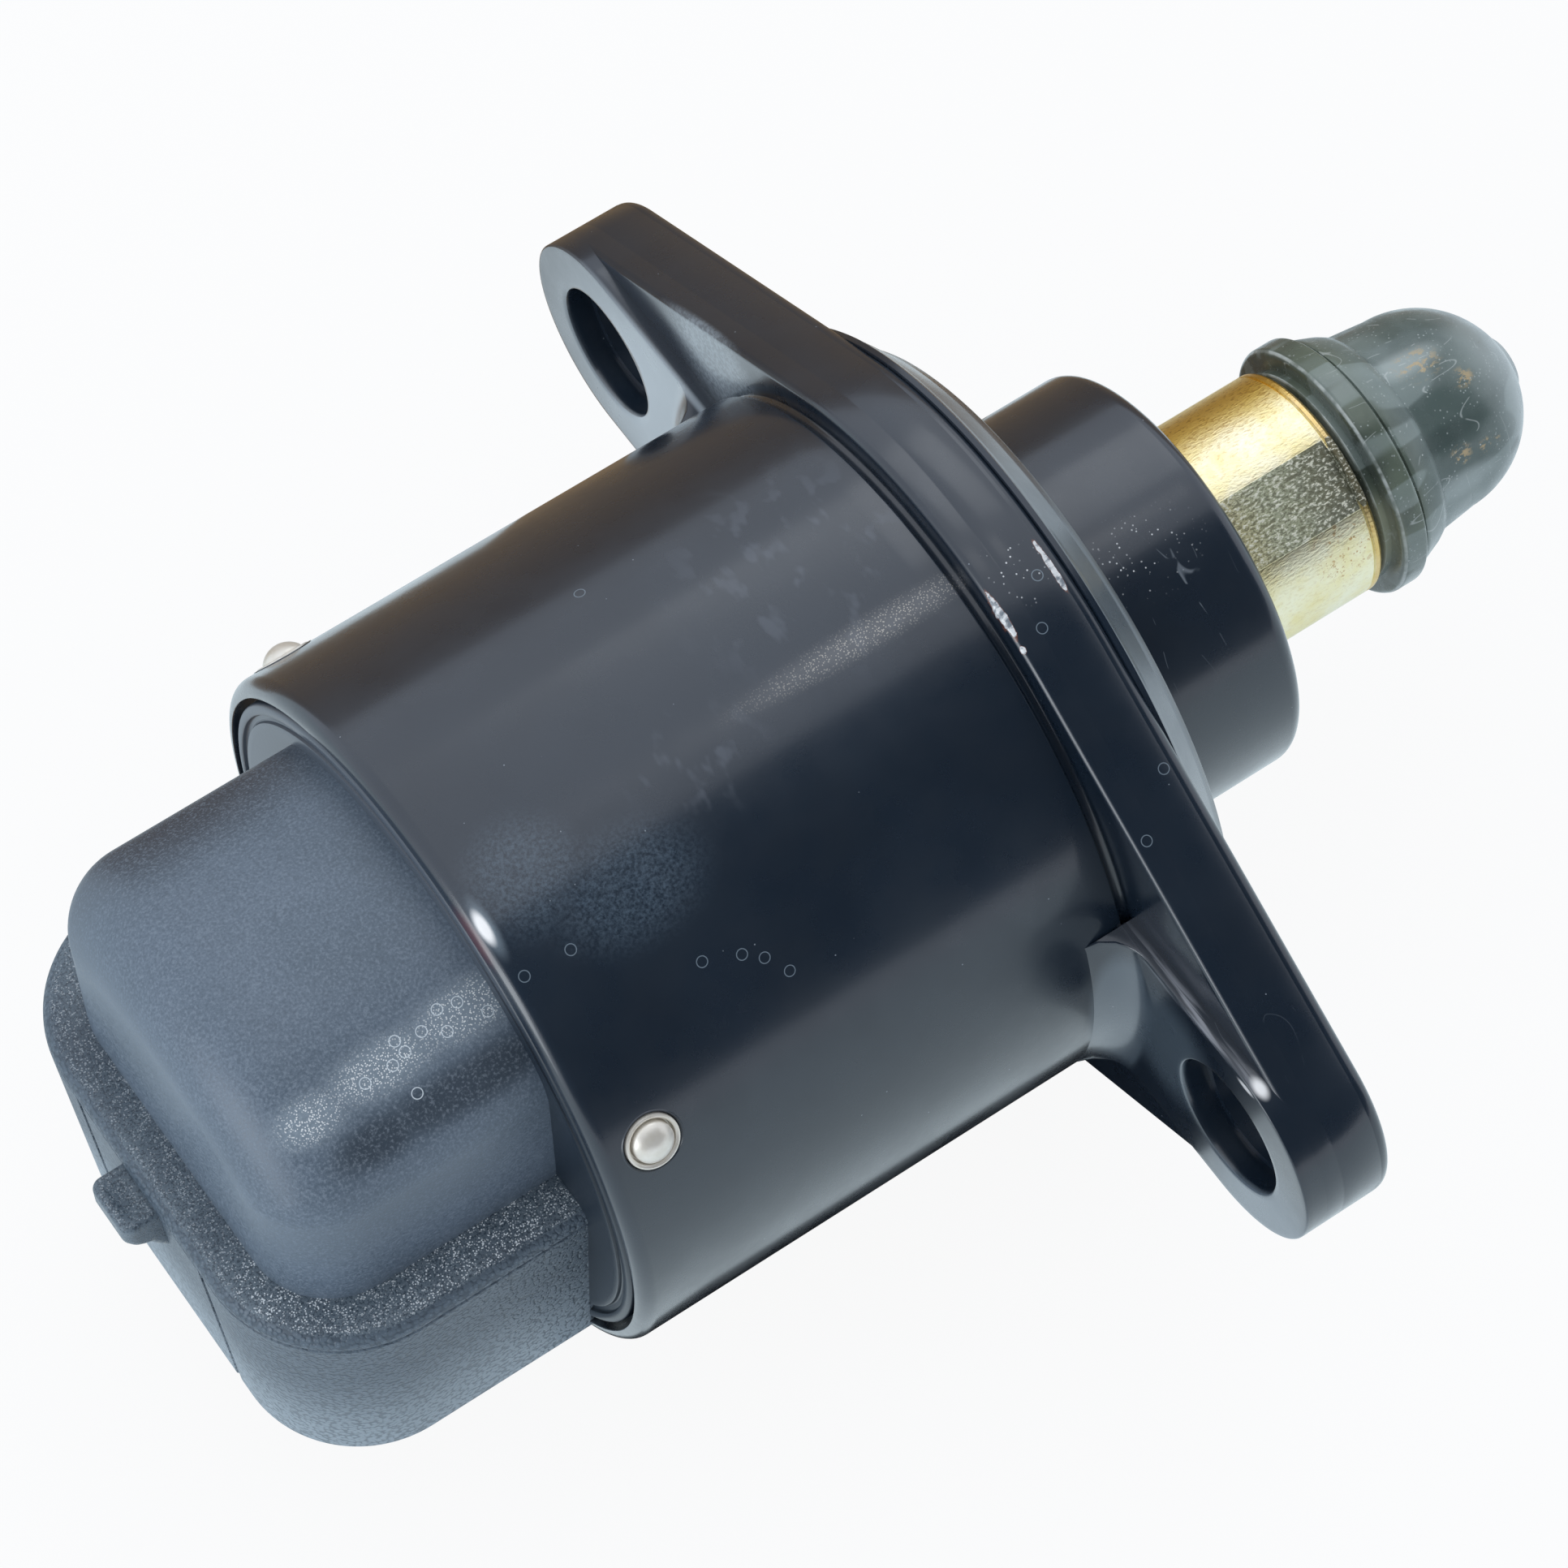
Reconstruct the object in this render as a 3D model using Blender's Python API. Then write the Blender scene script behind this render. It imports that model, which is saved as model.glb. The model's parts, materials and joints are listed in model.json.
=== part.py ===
"""Idle air control valve: a small stepping motor in a flanged can that moves a pintle in the air passage.

Metres, +Z up. +X runs along the valve's axis towards the pintle. The connector's socket opens downwards
(-Z) and the two bolt lugs lie along Y. The origin is on the valve's axis, inside the flange's seat.
"""

from math import asin, cos, pi, radians, sin, tan

import bmesh
import bpy
from mathutils import Matrix, Vector

MM = 0.001

# Clearances and facets
GAP = 0.3 * MM
AIR_GAP = 0.45 * MM
RUNNING_GAP = 0.3 * MM
OUTER_STEPS = 56
SLEEVE_STEPS = 32
INNER_STEPS = 24
BEARING_STEPS = 24
SMALL_STEPS = 14
CUT_PAST = 1.0 * MM
SINK = 0.4 * MM

# Housing: can, flange, tapered seat and spigot, cast in one piece
CAN_RADIUS = 16.5 * MM
CAN_WALL = 1.3 * MM
CAP_SPACE = 5.6 * MM
RIM_ROUNDING = 0.7 * MM
RIM_LIP = 0.75 * MM
RIM_BORE_DEPTH = 1.0 * MM
SEAT_RADIUS = 17.5 * MM
SEAT_BACK_X = -1.1 * MM
SEAT_EDGE_X = -0.85 * MM
SEAT_FACE_X = 0.8 * MM
SEAT_FACE_RADIUS = 15.4 * MM
SEAT_ROUNDING = 0.3 * MM
PLATE_FRONT_X = -0.95 * MM
PLATE_THICKNESS = 3.8 * MM
PLATE_MIDDLE_RADIUS = 17.45 * MM
PLATE_FRONT_ROUNDING = 0.85 * MM
PLATE_REAR_ROUNDING = 0.5 * MM
LUG_SPACING = 47.6 * MM
LUG_END_RADIUS = 5.6 * MM
PAD_HALF_WIDTH = 5.2 * MM
PAD_HEIGHT = 0.75 * MM
PAD_ROUNDING = 0.2 * MM
PAD_FILLET = 2.0 * MM
BOLT_BORE_RADIUS = 2.9 * MM
BOLT_RECESS_RADIUS = 3.3 * MM
BOLT_RECESS_DEPTH = 1.3 * MM
SPIGOT_RADIUS = 9.9 * MM
SPIGOT_LENGTH = 9.1 * MM
SPIGOT_ROUNDING = 0.8 * MM
FRONT_WALL_X = -8.1 * MM

# Retaining pins that hold the end cap
PIN_COUNT = 3
PIN_FIRST_ANGLE = 148.0
PIN_INSET = 2.5 * MM
PIN_RADIUS = 1.05 * MM
PIN_HEAD_HEIGHT = 0.7 * MM
PIN_LENGTH = 3.6 * MM
PIN_CLEARANCE = 0.25 * MM

# End cap: disc, skirt, rounded back and connector hood, moulded in one piece
CAP_DISC_EDGE = 0.35 * MM
CAP_DISC_THICKNESS = 1.7 * MM
CAP_SHOULDER = 0.7 * MM
CAP_CUT_DEPTH = 0.5 * MM
SKIRT_LENGTH = 4.0 * MM
SKIRT_WALL = 2.4 * MM
SEAL_STEP_DEPTH = 1.4 * MM
SEAL_STEP_LENGTH = 1.25 * MM
DOME_STEP = 1.55 * MM
DOME_HALF_WIDTH = 10.05 * MM
DOME_LENGTH = 12.6 * MM
DOME_CORNER = 3.0 * MM
DOME_ROUNDING = 3.8 * MM
DOME_WALL = 1.6 * MM
HOOD_HALF_WIDTH = 12.35 * MM
HOOD_LENGTH = 14.6 * MM
HOOD_TOP_Z = 1.7 * MM
HOOD_BOTTOM_Z = -11.3 * MM
HOOD_DRAFT = 3.3
HOOD_CORNER = 6.4 * MM
HOOD_CORNER_STEP = 11.25
HOOD_TOP_ROUNDING = 0.45 * MM
HOOD_WALL = 1.9 * MM
HOOD_ROOF = 1.9 * MM
LATCH_WIDTH = 3.0 * MM
LATCH_REACH = 1.65 * MM
LATCH_TOP_Z = 0.45 * MM
LATCH_HEIGHT = 3.65 * MM
LATCH_FACE = 1.4 * MM
LATCH_SLOT_OFFSET = 4.9 * MM
LATCH_SLOT_WIDTH = 0.45 * MM
LATCH_SLOT_DEPTH = 0.3 * MM

# Terminals: four flat blades bent forward inside the cap
TERMINAL_COUNT = 4
TERMINAL_PITCH_SHARE = 0.32
TERMINAL_WIDTH = 1.5 * MM
TERMINAL_THICKNESS = 0.8 * MM
TERMINAL_TIP_Z = -9.5 * MM
TERMINAL_ARM_CLEARANCE = 0.4 * MM
TERMINAL_REACH = 4.4 * MM

# Seal between the cap and the can
SEAL_SECTION_RADIUS = 0.5 * MM

# Motor: two claw-pole stator halves
HALF_LENGTH = 8.1 * MM
SHELL_WALL = 0.7 * MM
CLAW_RADIUS_SHARE = 0.6275
CLAW_THICKNESS = 0.7 * MM
CLAWS_PER_SIDE = 6
CLAW_ROOT_ANGLE = 11.0
CLAW_TIP_ANGLE = 6.0
BOBBIN_WALL = 0.6 * MM
WINDING_INSET = 0.5 * MM

# Rotor
MAGNET_WALL = 2.9 * MM
MAGNET_END_INSET = 0.3 * MM
HUB_COLLAR_RADIUS = 7.0 * MM
HUB_COLLAR_THICKNESS = 0.8 * MM
HUB_REAR_JOURNAL_RADIUS = 3.5 * MM
HUB_FRONT_JOURNAL_RADIUS = 3.1 * MM
HUB_SHOULDER_RADIUS = 4.0 * MM
HUB_REAR_INSET = 1.8 * MM

# Bearings
REAR_BUSH_LENGTH = 2.1 * MM
REAR_BUSH_INSET = 1.5 * MM
REAR_BUSH_WALL = 1.1 * MM
CAP_BOSS_WALL = 0.9 * MM
WASHER_THICKNESS = 0.25 * MM
WASHER_WAVE = 0.15 * MM
WASHER_WAVES = 3
BEARING_LENGTH = 3.0 * MM
BEARING_OUTER_RADIUS = 6.3 * MM
BEARING_RACE_WALL = 0.85 * MM
BALL_RADIUS = 0.62 * MM
BALL_COUNT = 8
BALL_GAP = 0.12 * MM
BEARING_SHOULDER = 0.4 * MM

# Plunger: screw, sleeve and pintle, which slide together
SCREW_RADIUS = 2.0 * MM
SCREW_REAR_INSET = 3.9 * MM
SCREW_FRONT_X = 18.0 * MM
SLEEVE_RADIUS = 5.6 * MM
SLEEVE_WALL = 0.7 * MM
SLEEVE_REAR_X = 2.8 * MM
SLEEVE_FRONT_X = 16.6 * MM
SLEEVE_LIP = 0.4 * MM
SLEEVE_LIP_GROOVE = 0.12 * MM
SLEEVE_FLAT_ANGLE = 120.0
SLEEVE_FLAT_DEPTH = 0.27 * MM
PINTLE_STEM_LENGTH = 5.6 * MM
PINTLE_NECK_RADIUS = 5.35 * MM
PINTLE_NECK_LENGTH = 0.4 * MM
COLLAR_RADIUS = 6.3 * MM
COLLAR_LENGTH = 1.35 * MM
RING_RADIUS = 5.95 * MM
RING_LENGTH = 1.8 * MM
RING_TAPER = 0.6 * MM
PINTLE_GROOVE = 0.18 * MM
HEAD_BASE_RADIUS = 5.1 * MM
HEAD_RADIUS = 4.85 * MM
HEAD_STRAIGHT = 2.5 * MM
TIP_FLAT_RADIUS = 1.3 * MM

# Guide bush and shaft seal in the spigot
GUIDE_LENGTH = 3.8 * MM
GUIDE_WALL = 1.0 * MM
GUIDE_FLAT_HALF_WIDTH = 2.6 * MM
SHAFT_SEAL_LENGTH = 1.5 * MM
SHAFT_SEAL_WALL = 1.8 * MM
SHAFT_SEAL_INSET = 0.4 * MM

# Values worked out from the ones above
PLATE_REAR_X = PLATE_FRONT_X - PLATE_THICKNESS
PAD_BACK_X = PLATE_REAR_X - PAD_HEIGHT
CAN_BORE_RADIUS = CAN_RADIUS - CAN_WALL
RIM_BORE_RADIUS = CAN_RADIUS - RIM_LIP
STACK_FRONT_X = FRONT_WALL_X - GAP
STACK_REAR_X = STACK_FRONT_X - 2 * HALF_LENGTH - GAP
CAN_REAR_X = STACK_REAR_X - CAP_SPACE
PIN_X = CAN_REAR_X + PIN_INSET
SHELL_RADIUS = CAN_BORE_RADIUS - GAP
CLAW_INNER_RADIUS = SHELL_RADIUS * CLAW_RADIUS_SHARE
CLAW_OUTER_RADIUS = CLAW_INNER_RADIUS + CLAW_THICKNESS
BOBBIN_BORE_RADIUS = CLAW_OUTER_RADIUS + GAP
BOBBIN_RADIUS = SHELL_RADIUS - SHELL_WALL - GAP
MAGNET_RADIUS = CLAW_INNER_RADIUS - AIR_GAP
MAGNET_BORE_RADIUS = MAGNET_RADIUS - MAGNET_WALL
HUB_BARREL_RADIUS = MAGNET_BORE_RADIUS - GAP
SCREW_BORE_RADIUS = SCREW_RADIUS + RUNNING_GAP
SCREW_REAR_X = STACK_REAR_X + SCREW_REAR_INSET
SLEEVE_BORE_RADIUS = SLEEVE_RADIUS - SLEEVE_WALL
GUIDE_BORE_RADIUS = SLEEVE_RADIUS + RUNNING_GAP
GUIDE_RADIUS = GUIDE_BORE_RADIUS + GUIDE_WALL
SHAFT_SEAL_RADIUS = GUIDE_BORE_RADIUS + SHAFT_SEAL_WALL
SHAFT_SEAL_FRONT_X = SPIGOT_LENGTH - SHAFT_SEAL_INSET
SHAFT_SEAL_REAR_X = SHAFT_SEAL_FRONT_X - SHAFT_SEAL_LENGTH
GUIDE_FRONT_X = SHAFT_SEAL_REAR_X - GAP
GUIDE_REAR_X = GUIDE_FRONT_X - GUIDE_LENGTH
BEARING_REAR_X = FRONT_WALL_X + GAP
BEARING_FRONT_X = BEARING_REAR_X + BEARING_LENGTH
REAR_BUSH_BORE_RADIUS = HUB_REAR_JOURNAL_RADIUS + RUNNING_GAP
REAR_BUSH_RADIUS = REAR_BUSH_BORE_RADIUS + REAR_BUSH_WALL
REAR_BUSH_REAR_X = CAN_REAR_X + REAR_BUSH_INSET
REAR_BUSH_FRONT_X = REAR_BUSH_REAR_X + REAR_BUSH_LENGTH
CAP_RADIUS = RIM_BORE_RADIUS - GAP
SKIRT_RADIUS = CAN_BORE_RADIUS - GAP
SKIRT_BORE_RADIUS = SKIRT_RADIUS - SKIRT_WALL
SKIRT_END_X = CAN_REAR_X + SKIRT_LENGTH
SEAL_STEP_RADIUS = SKIRT_RADIUS - SEAL_STEP_DEPTH
BOSS_RADIUS = REAR_BUSH_RADIUS + GAP + CAP_BOSS_WALL
DOME_RADIUS = CAP_RADIUS - DOME_STEP
DOME_REAR_X = CAN_REAR_X - DOME_LENGTH
HOOD_REAR_X = CAN_REAR_X - HOOD_LENGTH
SOCKET_ROOF_Z = HOOD_TOP_Z - HOOD_ROOF
SOCKET_REAR_X = HOOD_REAR_X + HOOD_WALL
SOCKET_FRONT_X = CAN_REAR_X - HOOD_WALL
SOCKET_MIDDLE_X = (SOCKET_REAR_X + SOCKET_FRONT_X) / 2
TERMINAL_PITCH = SKIRT_BORE_RADIUS * TERMINAL_PITCH_SHARE
TERMINAL_ARM_Z = BOSS_RADIUS + TERMINAL_ARM_CLEARANCE + TERMINAL_THICKNESS / 2
TERMINAL_END_X = CAN_REAR_X + TERMINAL_REACH


def clear_scene():
    """Empties the start-up scene."""
    for old in list(bpy.context.scene.objects):
        bpy.data.objects.remove(old)


def principled(name, colour, roughness, metallic=0.0):
    """A plain Principled material."""
    made = bpy.data.materials.new(name)
    made.use_nodes = True
    shader = made.node_tree.nodes["Principled BSDF"]
    shader.inputs["Base Color"].default_value = (*colour, 1.0)
    shader.inputs["Roughness"].default_value = roughness
    shader.inputs["Metallic"].default_value = metallic
    made.diffuse_color = (*colour, 1.0)
    return made


def make_object(name, shape, finish=None, smooth_angle=32.0):
    """Turns a bmesh into an object with outward faces and smooth round surfaces."""
    bmesh.ops.remove_doubles(shape, verts=shape.verts, dist=1e-7)
    bmesh.ops.recalc_face_normals(shape, faces=shape.faces)
    mesh = bpy.data.meshes.new(name)
    shape.to_mesh(mesh)
    shape.free()
    mesh.shade_smooth()
    mesh.set_sharp_from_angle(angle=radians(smooth_angle))
    made = bpy.data.objects.new(name, mesh)
    bpy.context.scene.collection.objects.link(made)
    if finish is not None:
        mesh.materials.append(finish)
    return made


def as_helper(thing):
    """Marks an object as a cutter or a filler that only feeds a Boolean."""
    thing.hide_render = True
    thing.display_type = "WIRE"
    return thing


def combine(thing, other, operation):
    """Adds a live Boolean of thing with the helper other."""
    step = thing.modifiers.new(f"{operation.lower()} {other.name}", "BOOLEAN")
    step.operation = operation
    step.solver = "EXACT"
    step.object = as_helper(other)
    return thing


def cut(thing, other):
    return combine(thing, other, "DIFFERENCE")


def join(thing, other):
    return combine(thing, other, "UNION")


def rounded(corners, arc_step=30.0, arc_count=None):
    """A closed outline from (u, v, radius) corners: each radius becomes an arc tangent to both sides."""
    points = []
    for index, (u, v, radius) in enumerate(corners):
        here = Vector((u, v))
        if radius <= 0:
            points.append(here)
            continue
        back = Vector(corners[index - 1][:2]) - here
        ahead = Vector(corners[(index + 1) % len(corners)][:2]) - here
        half = back.angle(ahead) / 2
        reach = min(radius / tan(half), 0.49 * back.length, 0.49 * ahead.length)
        fitted = reach * tan(half)
        start = here + back.normalized() * reach
        centre = here + (back.normalized() + ahead.normalized()).normalized() * fitted / sin(half)
        sweep = pi - 2 * half
        side = -1 if back.cross(ahead) > 0 else 1
        steps = arc_count or max(1, round(sweep / radians(arc_step)))
        for k in range(steps + 1):
            turn = Matrix.Rotation(side * sweep * k / steps, 2)
            points.append(centre + turn @ (start - centre))
    return [(p.x, p.y) for p in points]


def arc(centre_u, centre_v, radius, first, last, steps):
    """Points on an arc between two angles in degrees."""
    angles = [radians(first + (last - first) * k / steps) for k in range(steps + 1)]
    return [(centre_u + radius * cos(a), centre_v + radius * sin(a)) for a in angles]


def turned_shape(profile, steps, wave=None):
    """Turns a closed (x, r) outline about the X axis. A point with r = 0 closes to a pole."""
    shape = bmesh.new()
    rings = []
    for x, r in profile:
        if r < 1e-9:
            rings.append([shape.verts.new((x, 0, 0))])
            continue
        ring = []
        for k in range(steps):
            angle = 2 * pi * k / steps
            shift = wave(angle) if wave else 0.0
            ring.append(shape.verts.new((x + shift, r * cos(angle), r * sin(angle))))
        rings.append(ring)
    for first, second in zip(rings, rings[1:] + rings[:1]):
        if len(first) == 1 and len(second) == 1:
            continue
        for k in range(steps):
            after = k + 1
            corners = []
            for ring, place in ((first, k), (first, after), (second, after), (second, k)):
                vertex = ring[place % len(ring)]
                if vertex not in corners:
                    corners.append(vertex)
            shape.faces.new(corners)
    return shape


def turned(name, profile, steps, finish=None, wave=None):
    return make_object(name, turned_shape(profile, steps, wave), finish)


def loft_shape(sections, place):
    """Skins (w, outline) sections of equal point counts; place(u, v, w) gives the point in space."""
    shape = bmesh.new()
    rings = [[shape.verts.new(place(u, v, w)) for u, v in outline] for w, outline in sections]
    shape.faces.new(rings[0])
    shape.faces.new(rings[-1])
    for first, second in zip(rings, rings[1:]):
        for k in range(len(first)):
            after = (k + 1) % len(first)
            shape.faces.new((first[k], first[after], second[after], second[k]))
    bmesh.ops.recalc_face_normals(shape, faces=shape.faces)
    return shape


def prism_shape(outline, low, high, place):
    """Extrudes a closed outline between two heights."""
    return loft_shape([(low, outline), (high, outline)], place)


def along_x(u, v, w):
    """Outline in the YZ plane, extruded along X."""
    return (w, u, v)


def along_z(u, v, w):
    """Outline in the XY plane, extruded along Z."""
    return (u, v, w)


def round_edges(shape, radius, steps, is_wanted):
    """Rounds the edges whose two ends both satisfy is_wanted."""
    edges = [e for e in shape.edges if all(is_wanted(v.co) for v in e.verts)]
    bmesh.ops.bevel(
        shape, geom=edges, offset=radius, segments=steps, profile=0.5, affect="EDGES", clamp_overlap=True
    )


def block(name, low, high, finish=None):
    """An upright box between two corners."""
    outline = [(low[0], low[1]), (high[0], low[1]), (high[0], high[1]), (low[0], high[1])]
    return make_object(name, prism_shape(outline, low[2], high[2], along_z), finish)


def turn_about_x(thing, degrees):
    thing.rotation_euler.x = radians(degrees)
    return thing


def radial_rod(name, profile, angle, steps, finish=None):
    """A rod turned from an (outward distance, radius) outline, standing out from the axis at PIN_X."""
    thing = turned(name, profile, steps, finish)
    outward = Matrix.Rotation(radians(angle), 3, "X") @ Matrix.Rotation(pi / 2, 3, "Z")
    thing.rotation_euler = outward.to_euler()
    thing.location.x = PIN_X
    return thing


def lozenge_outline(middle_radius, end_radius, half_spacing):
    """Round middle and two round ends along Y, joined by their common tangents."""
    lean = asin((middle_radius - end_radius) / half_spacing) * 180 / pi
    points = arc(0, 0, middle_radius, 90 - lean, 90 + lean, 8)
    points += arc(-half_spacing, 0, end_radius, 90 + lean, 270 - lean, 10)
    points += arc(0, 0, middle_radius, 270 - lean, 270 + lean, 8)
    points += arc(half_spacing, 0, end_radius, lean - 90, 90 - lean, 10)
    return points


def pin_angles():
    return [PIN_FIRST_ANGLE + 360.0 / PIN_COUNT * k for k in range(PIN_COUNT)]


def build_flange(name, finish):
    """The lozenge plate with a raised pad round each bolt hole."""
    half_spacing = LUG_SPACING / 2
    outline = lozenge_outline(PLATE_MIDDLE_RADIUS, LUG_END_RADIUS, half_spacing)
    shape = prism_shape(outline, PLATE_REAR_X, PLATE_FRONT_X, along_x)
    round_edges(shape, PLATE_FRONT_ROUNDING, 3, lambda co: abs(co.x - PLATE_FRONT_X) < 1e-7)
    round_edges(shape, PLATE_REAR_ROUNDING, 2, lambda co: abs(co.x - PLATE_REAR_X) < 1e-7)
    plate = make_object(name, shape, finish)
    for side in (1, -1):
        outline = arc(half_spacing, 0, PAD_HALF_WIDTH, -90, 90, 12)
        outline += [(CAN_BORE_RADIUS, PAD_HALF_WIDTH), (CAN_BORE_RADIUS, -PAD_HALF_WIDTH)]
        outline = [(side * u, side * v) for u, v in outline]
        word = "left" if side > 0 else "right"
        shape = prism_shape(outline, PAD_BACK_X, PLATE_FRONT_X - PLATE_FRONT_ROUNDING, along_x)
        round_edges(shape, PAD_ROUNDING, 1, lambda co: abs(co.x - PAD_BACK_X) < 1e-7)
        join(plate, make_object(f"pad {word}", shape, finish))
        shape = prism_shape(outline, PAD_BACK_X - PAD_FILLET - SINK, PAD_BACK_X + SINK, along_x)
        reach = make_object(f"pad fillet {word}", shape, finish)
        concave = arc(PAD_BACK_X - PAD_FILLET, CAN_RADIUS + PAD_FILLET, PAD_FILLET, 0, -90, 5)
        inner = CAN_RADIUS - SINK
        ring = [(PAD_BACK_X + SINK, inner), (PAD_BACK_X + SINK, CAN_RADIUS + PAD_FILLET), *concave]
        ring.append((PAD_BACK_X - PAD_FILLET, inner))
        join(plate, combine(reach, turned(f"fillet ring {word}", ring, OUTER_STEPS), "INTERSECT"))
    return plate


def build_housing(finish):
    """Can, tapered seat and spigot turned in one, joined with the flange, then bored."""
    body = rounded(
        [
            (CAN_REAR_X, 0, 0),
            (CAN_REAR_X, CAN_RADIUS, RIM_ROUNDING),
            (SEAT_BACK_X, CAN_RADIUS, 0),
            (SEAT_BACK_X, SEAT_RADIUS - GAP / 2, 0),
            (SEAT_EDGE_X, SEAT_RADIUS, 0),
            (SEAT_FACE_X, SEAT_FACE_RADIUS, SEAT_ROUNDING),
            (SEAT_FACE_X, SPIGOT_RADIUS, 0),
            (SPIGOT_LENGTH, SPIGOT_RADIUS, SPIGOT_ROUNDING),
            (SPIGOT_LENGTH, 0, 0),
        ]
    )
    housing = turned("housing", body, OUTER_STEPS, finish)
    join(housing, build_flange("flange", finish))
    rim_step_x = CAN_REAR_X + RIM_BORE_DEPTH
    bearing_radius = BEARING_OUTER_RADIUS + GAP
    sleeve_way = bearing_radius - BEARING_SHOULDER
    bore = [
        (CAN_REAR_X - CUT_PAST, 0),
        (CAN_REAR_X - CUT_PAST, RIM_BORE_RADIUS),
        (rim_step_x, RIM_BORE_RADIUS),
        (rim_step_x, CAN_BORE_RADIUS),
        (FRONT_WALL_X, CAN_BORE_RADIUS),
        (FRONT_WALL_X, bearing_radius),
        (BEARING_FRONT_X + GAP, bearing_radius),
        (BEARING_FRONT_X + GAP, sleeve_way),
        (GUIDE_REAR_X - GAP, sleeve_way),
        (GUIDE_REAR_X - GAP, GUIDE_RADIUS + GAP),
        (SHAFT_SEAL_REAR_X, GUIDE_RADIUS + GAP),
        (SHAFT_SEAL_REAR_X, SHAFT_SEAL_RADIUS + GAP),
        (SPIGOT_LENGTH + CUT_PAST, SHAFT_SEAL_RADIUS + GAP),
        (SPIGOT_LENGTH + CUT_PAST, 0),
    ]
    cut(housing, turned("stepped bore", bore, OUTER_STEPS))
    for side in (1, -1):
        hole = turned(f"bolt hole {side}", bolt_hole_outline(), 24)
        hole.location.y = side * LUG_SPACING / 2
        cut(housing, hole)
    pin_way = [
        (SKIRT_BORE_RADIUS, 0),
        (SKIRT_BORE_RADIUS, PIN_RADIUS + PIN_CLEARANCE),
        (CAN_RADIUS + CUT_PAST, PIN_RADIUS + PIN_CLEARANCE),
        (CAN_RADIUS + CUT_PAST, 0),
    ]
    for angle in pin_angles():
        cut(housing, radial_rod(f"pin hole {angle:.0f}", pin_way, angle, SMALL_STEPS))
    return housing


def bolt_hole_outline():
    """Through bore with a wider recess from the pad's side."""
    recess_x = PAD_BACK_X + BOLT_RECESS_DEPTH
    return [
        (PAD_BACK_X - CUT_PAST, 0),
        (PAD_BACK_X - CUT_PAST, BOLT_RECESS_RADIUS),
        (recess_x, BOLT_RECESS_RADIUS),
        (recess_x, BOLT_BORE_RADIUS),
        (PLATE_FRONT_X + CUT_PAST, BOLT_BORE_RADIUS),
        (PLATE_FRONT_X + CUT_PAST, 0),
    ]


def dome_outline(inset, bottom_z):
    """Section of the cap's back: straight sides under an arc about the valve's axis."""
    half_width = DOME_HALF_WIDTH - inset
    radius = DOME_RADIUS - inset
    shoulder_z = (radius**2 - half_width**2) ** 0.5
    lean = asin(half_width / radius) * 180 / pi * 0.8
    top = arc(0, 0, radius, 90 - lean, 90 + lean, 8)
    corner = max(DOME_CORNER - inset, 0.4 * MM)
    sides = [(half_width, bottom_z, 0), (half_width, shoulder_z, corner), (*top[0], 0)]
    right = rounded(sides, arc_count=2)[:-1]
    left = [(-u, v) for u, v in reversed(right)]
    return right + top + left


def dome_shape(wall, bottom_z, front_x):
    """The cap's rounded back, or the hollow in it. Each section nearer the rear is drawn further in."""
    rounding = DOME_ROUNDING - wall * 0.6
    rear_x = DOME_REAR_X + wall
    sections = []
    for angle in (0, 22, 45, 67, 90):
        inset = wall + rounding * (1 - sin(radians(angle)))
        sections.append((rear_x + rounding * (1 - cos(radians(angle))), dome_outline(inset, bottom_z)))
    sections.append((front_x, sections[-1][1]))
    return loft_shape(sections, along_x)


def hood_outline(inset, front_x):
    """Plan of the connector hood or its socket at one level, with two large rear corners."""
    half_width = HOOD_HALF_WIDTH - inset
    rear_x = HOOD_REAR_X + inset
    corner = HOOD_CORNER - inset
    corners = [(front_x, half_width, 0), (rear_x, half_width, corner), (rear_x, -half_width, corner)]
    return rounded([*corners, (front_x, -half_width, 0)], HOOD_CORNER_STEP)


def build_latch(finish):
    """The wedge that locks the mating plug: a square shoulder above and a ramp below."""
    tip_x = HOOD_REAR_X - LATCH_REACH
    side = [
        (HOOD_REAR_X + SINK, LATCH_TOP_Z, 0),
        (tip_x, LATCH_TOP_Z, 0.4 * MM),
        (tip_x, LATCH_TOP_Z - LATCH_FACE, 0.8 * MM),
        (HOOD_REAR_X + SINK, LATCH_TOP_Z - LATCH_HEIGHT, 0),
    ]
    shape = prism_shape(
        rounded(side), -LATCH_WIDTH / 2, LATCH_WIDTH / 2, lambda u, v, w: (u, w, v)
    )
    return make_object("latch", shape, finish)


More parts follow.
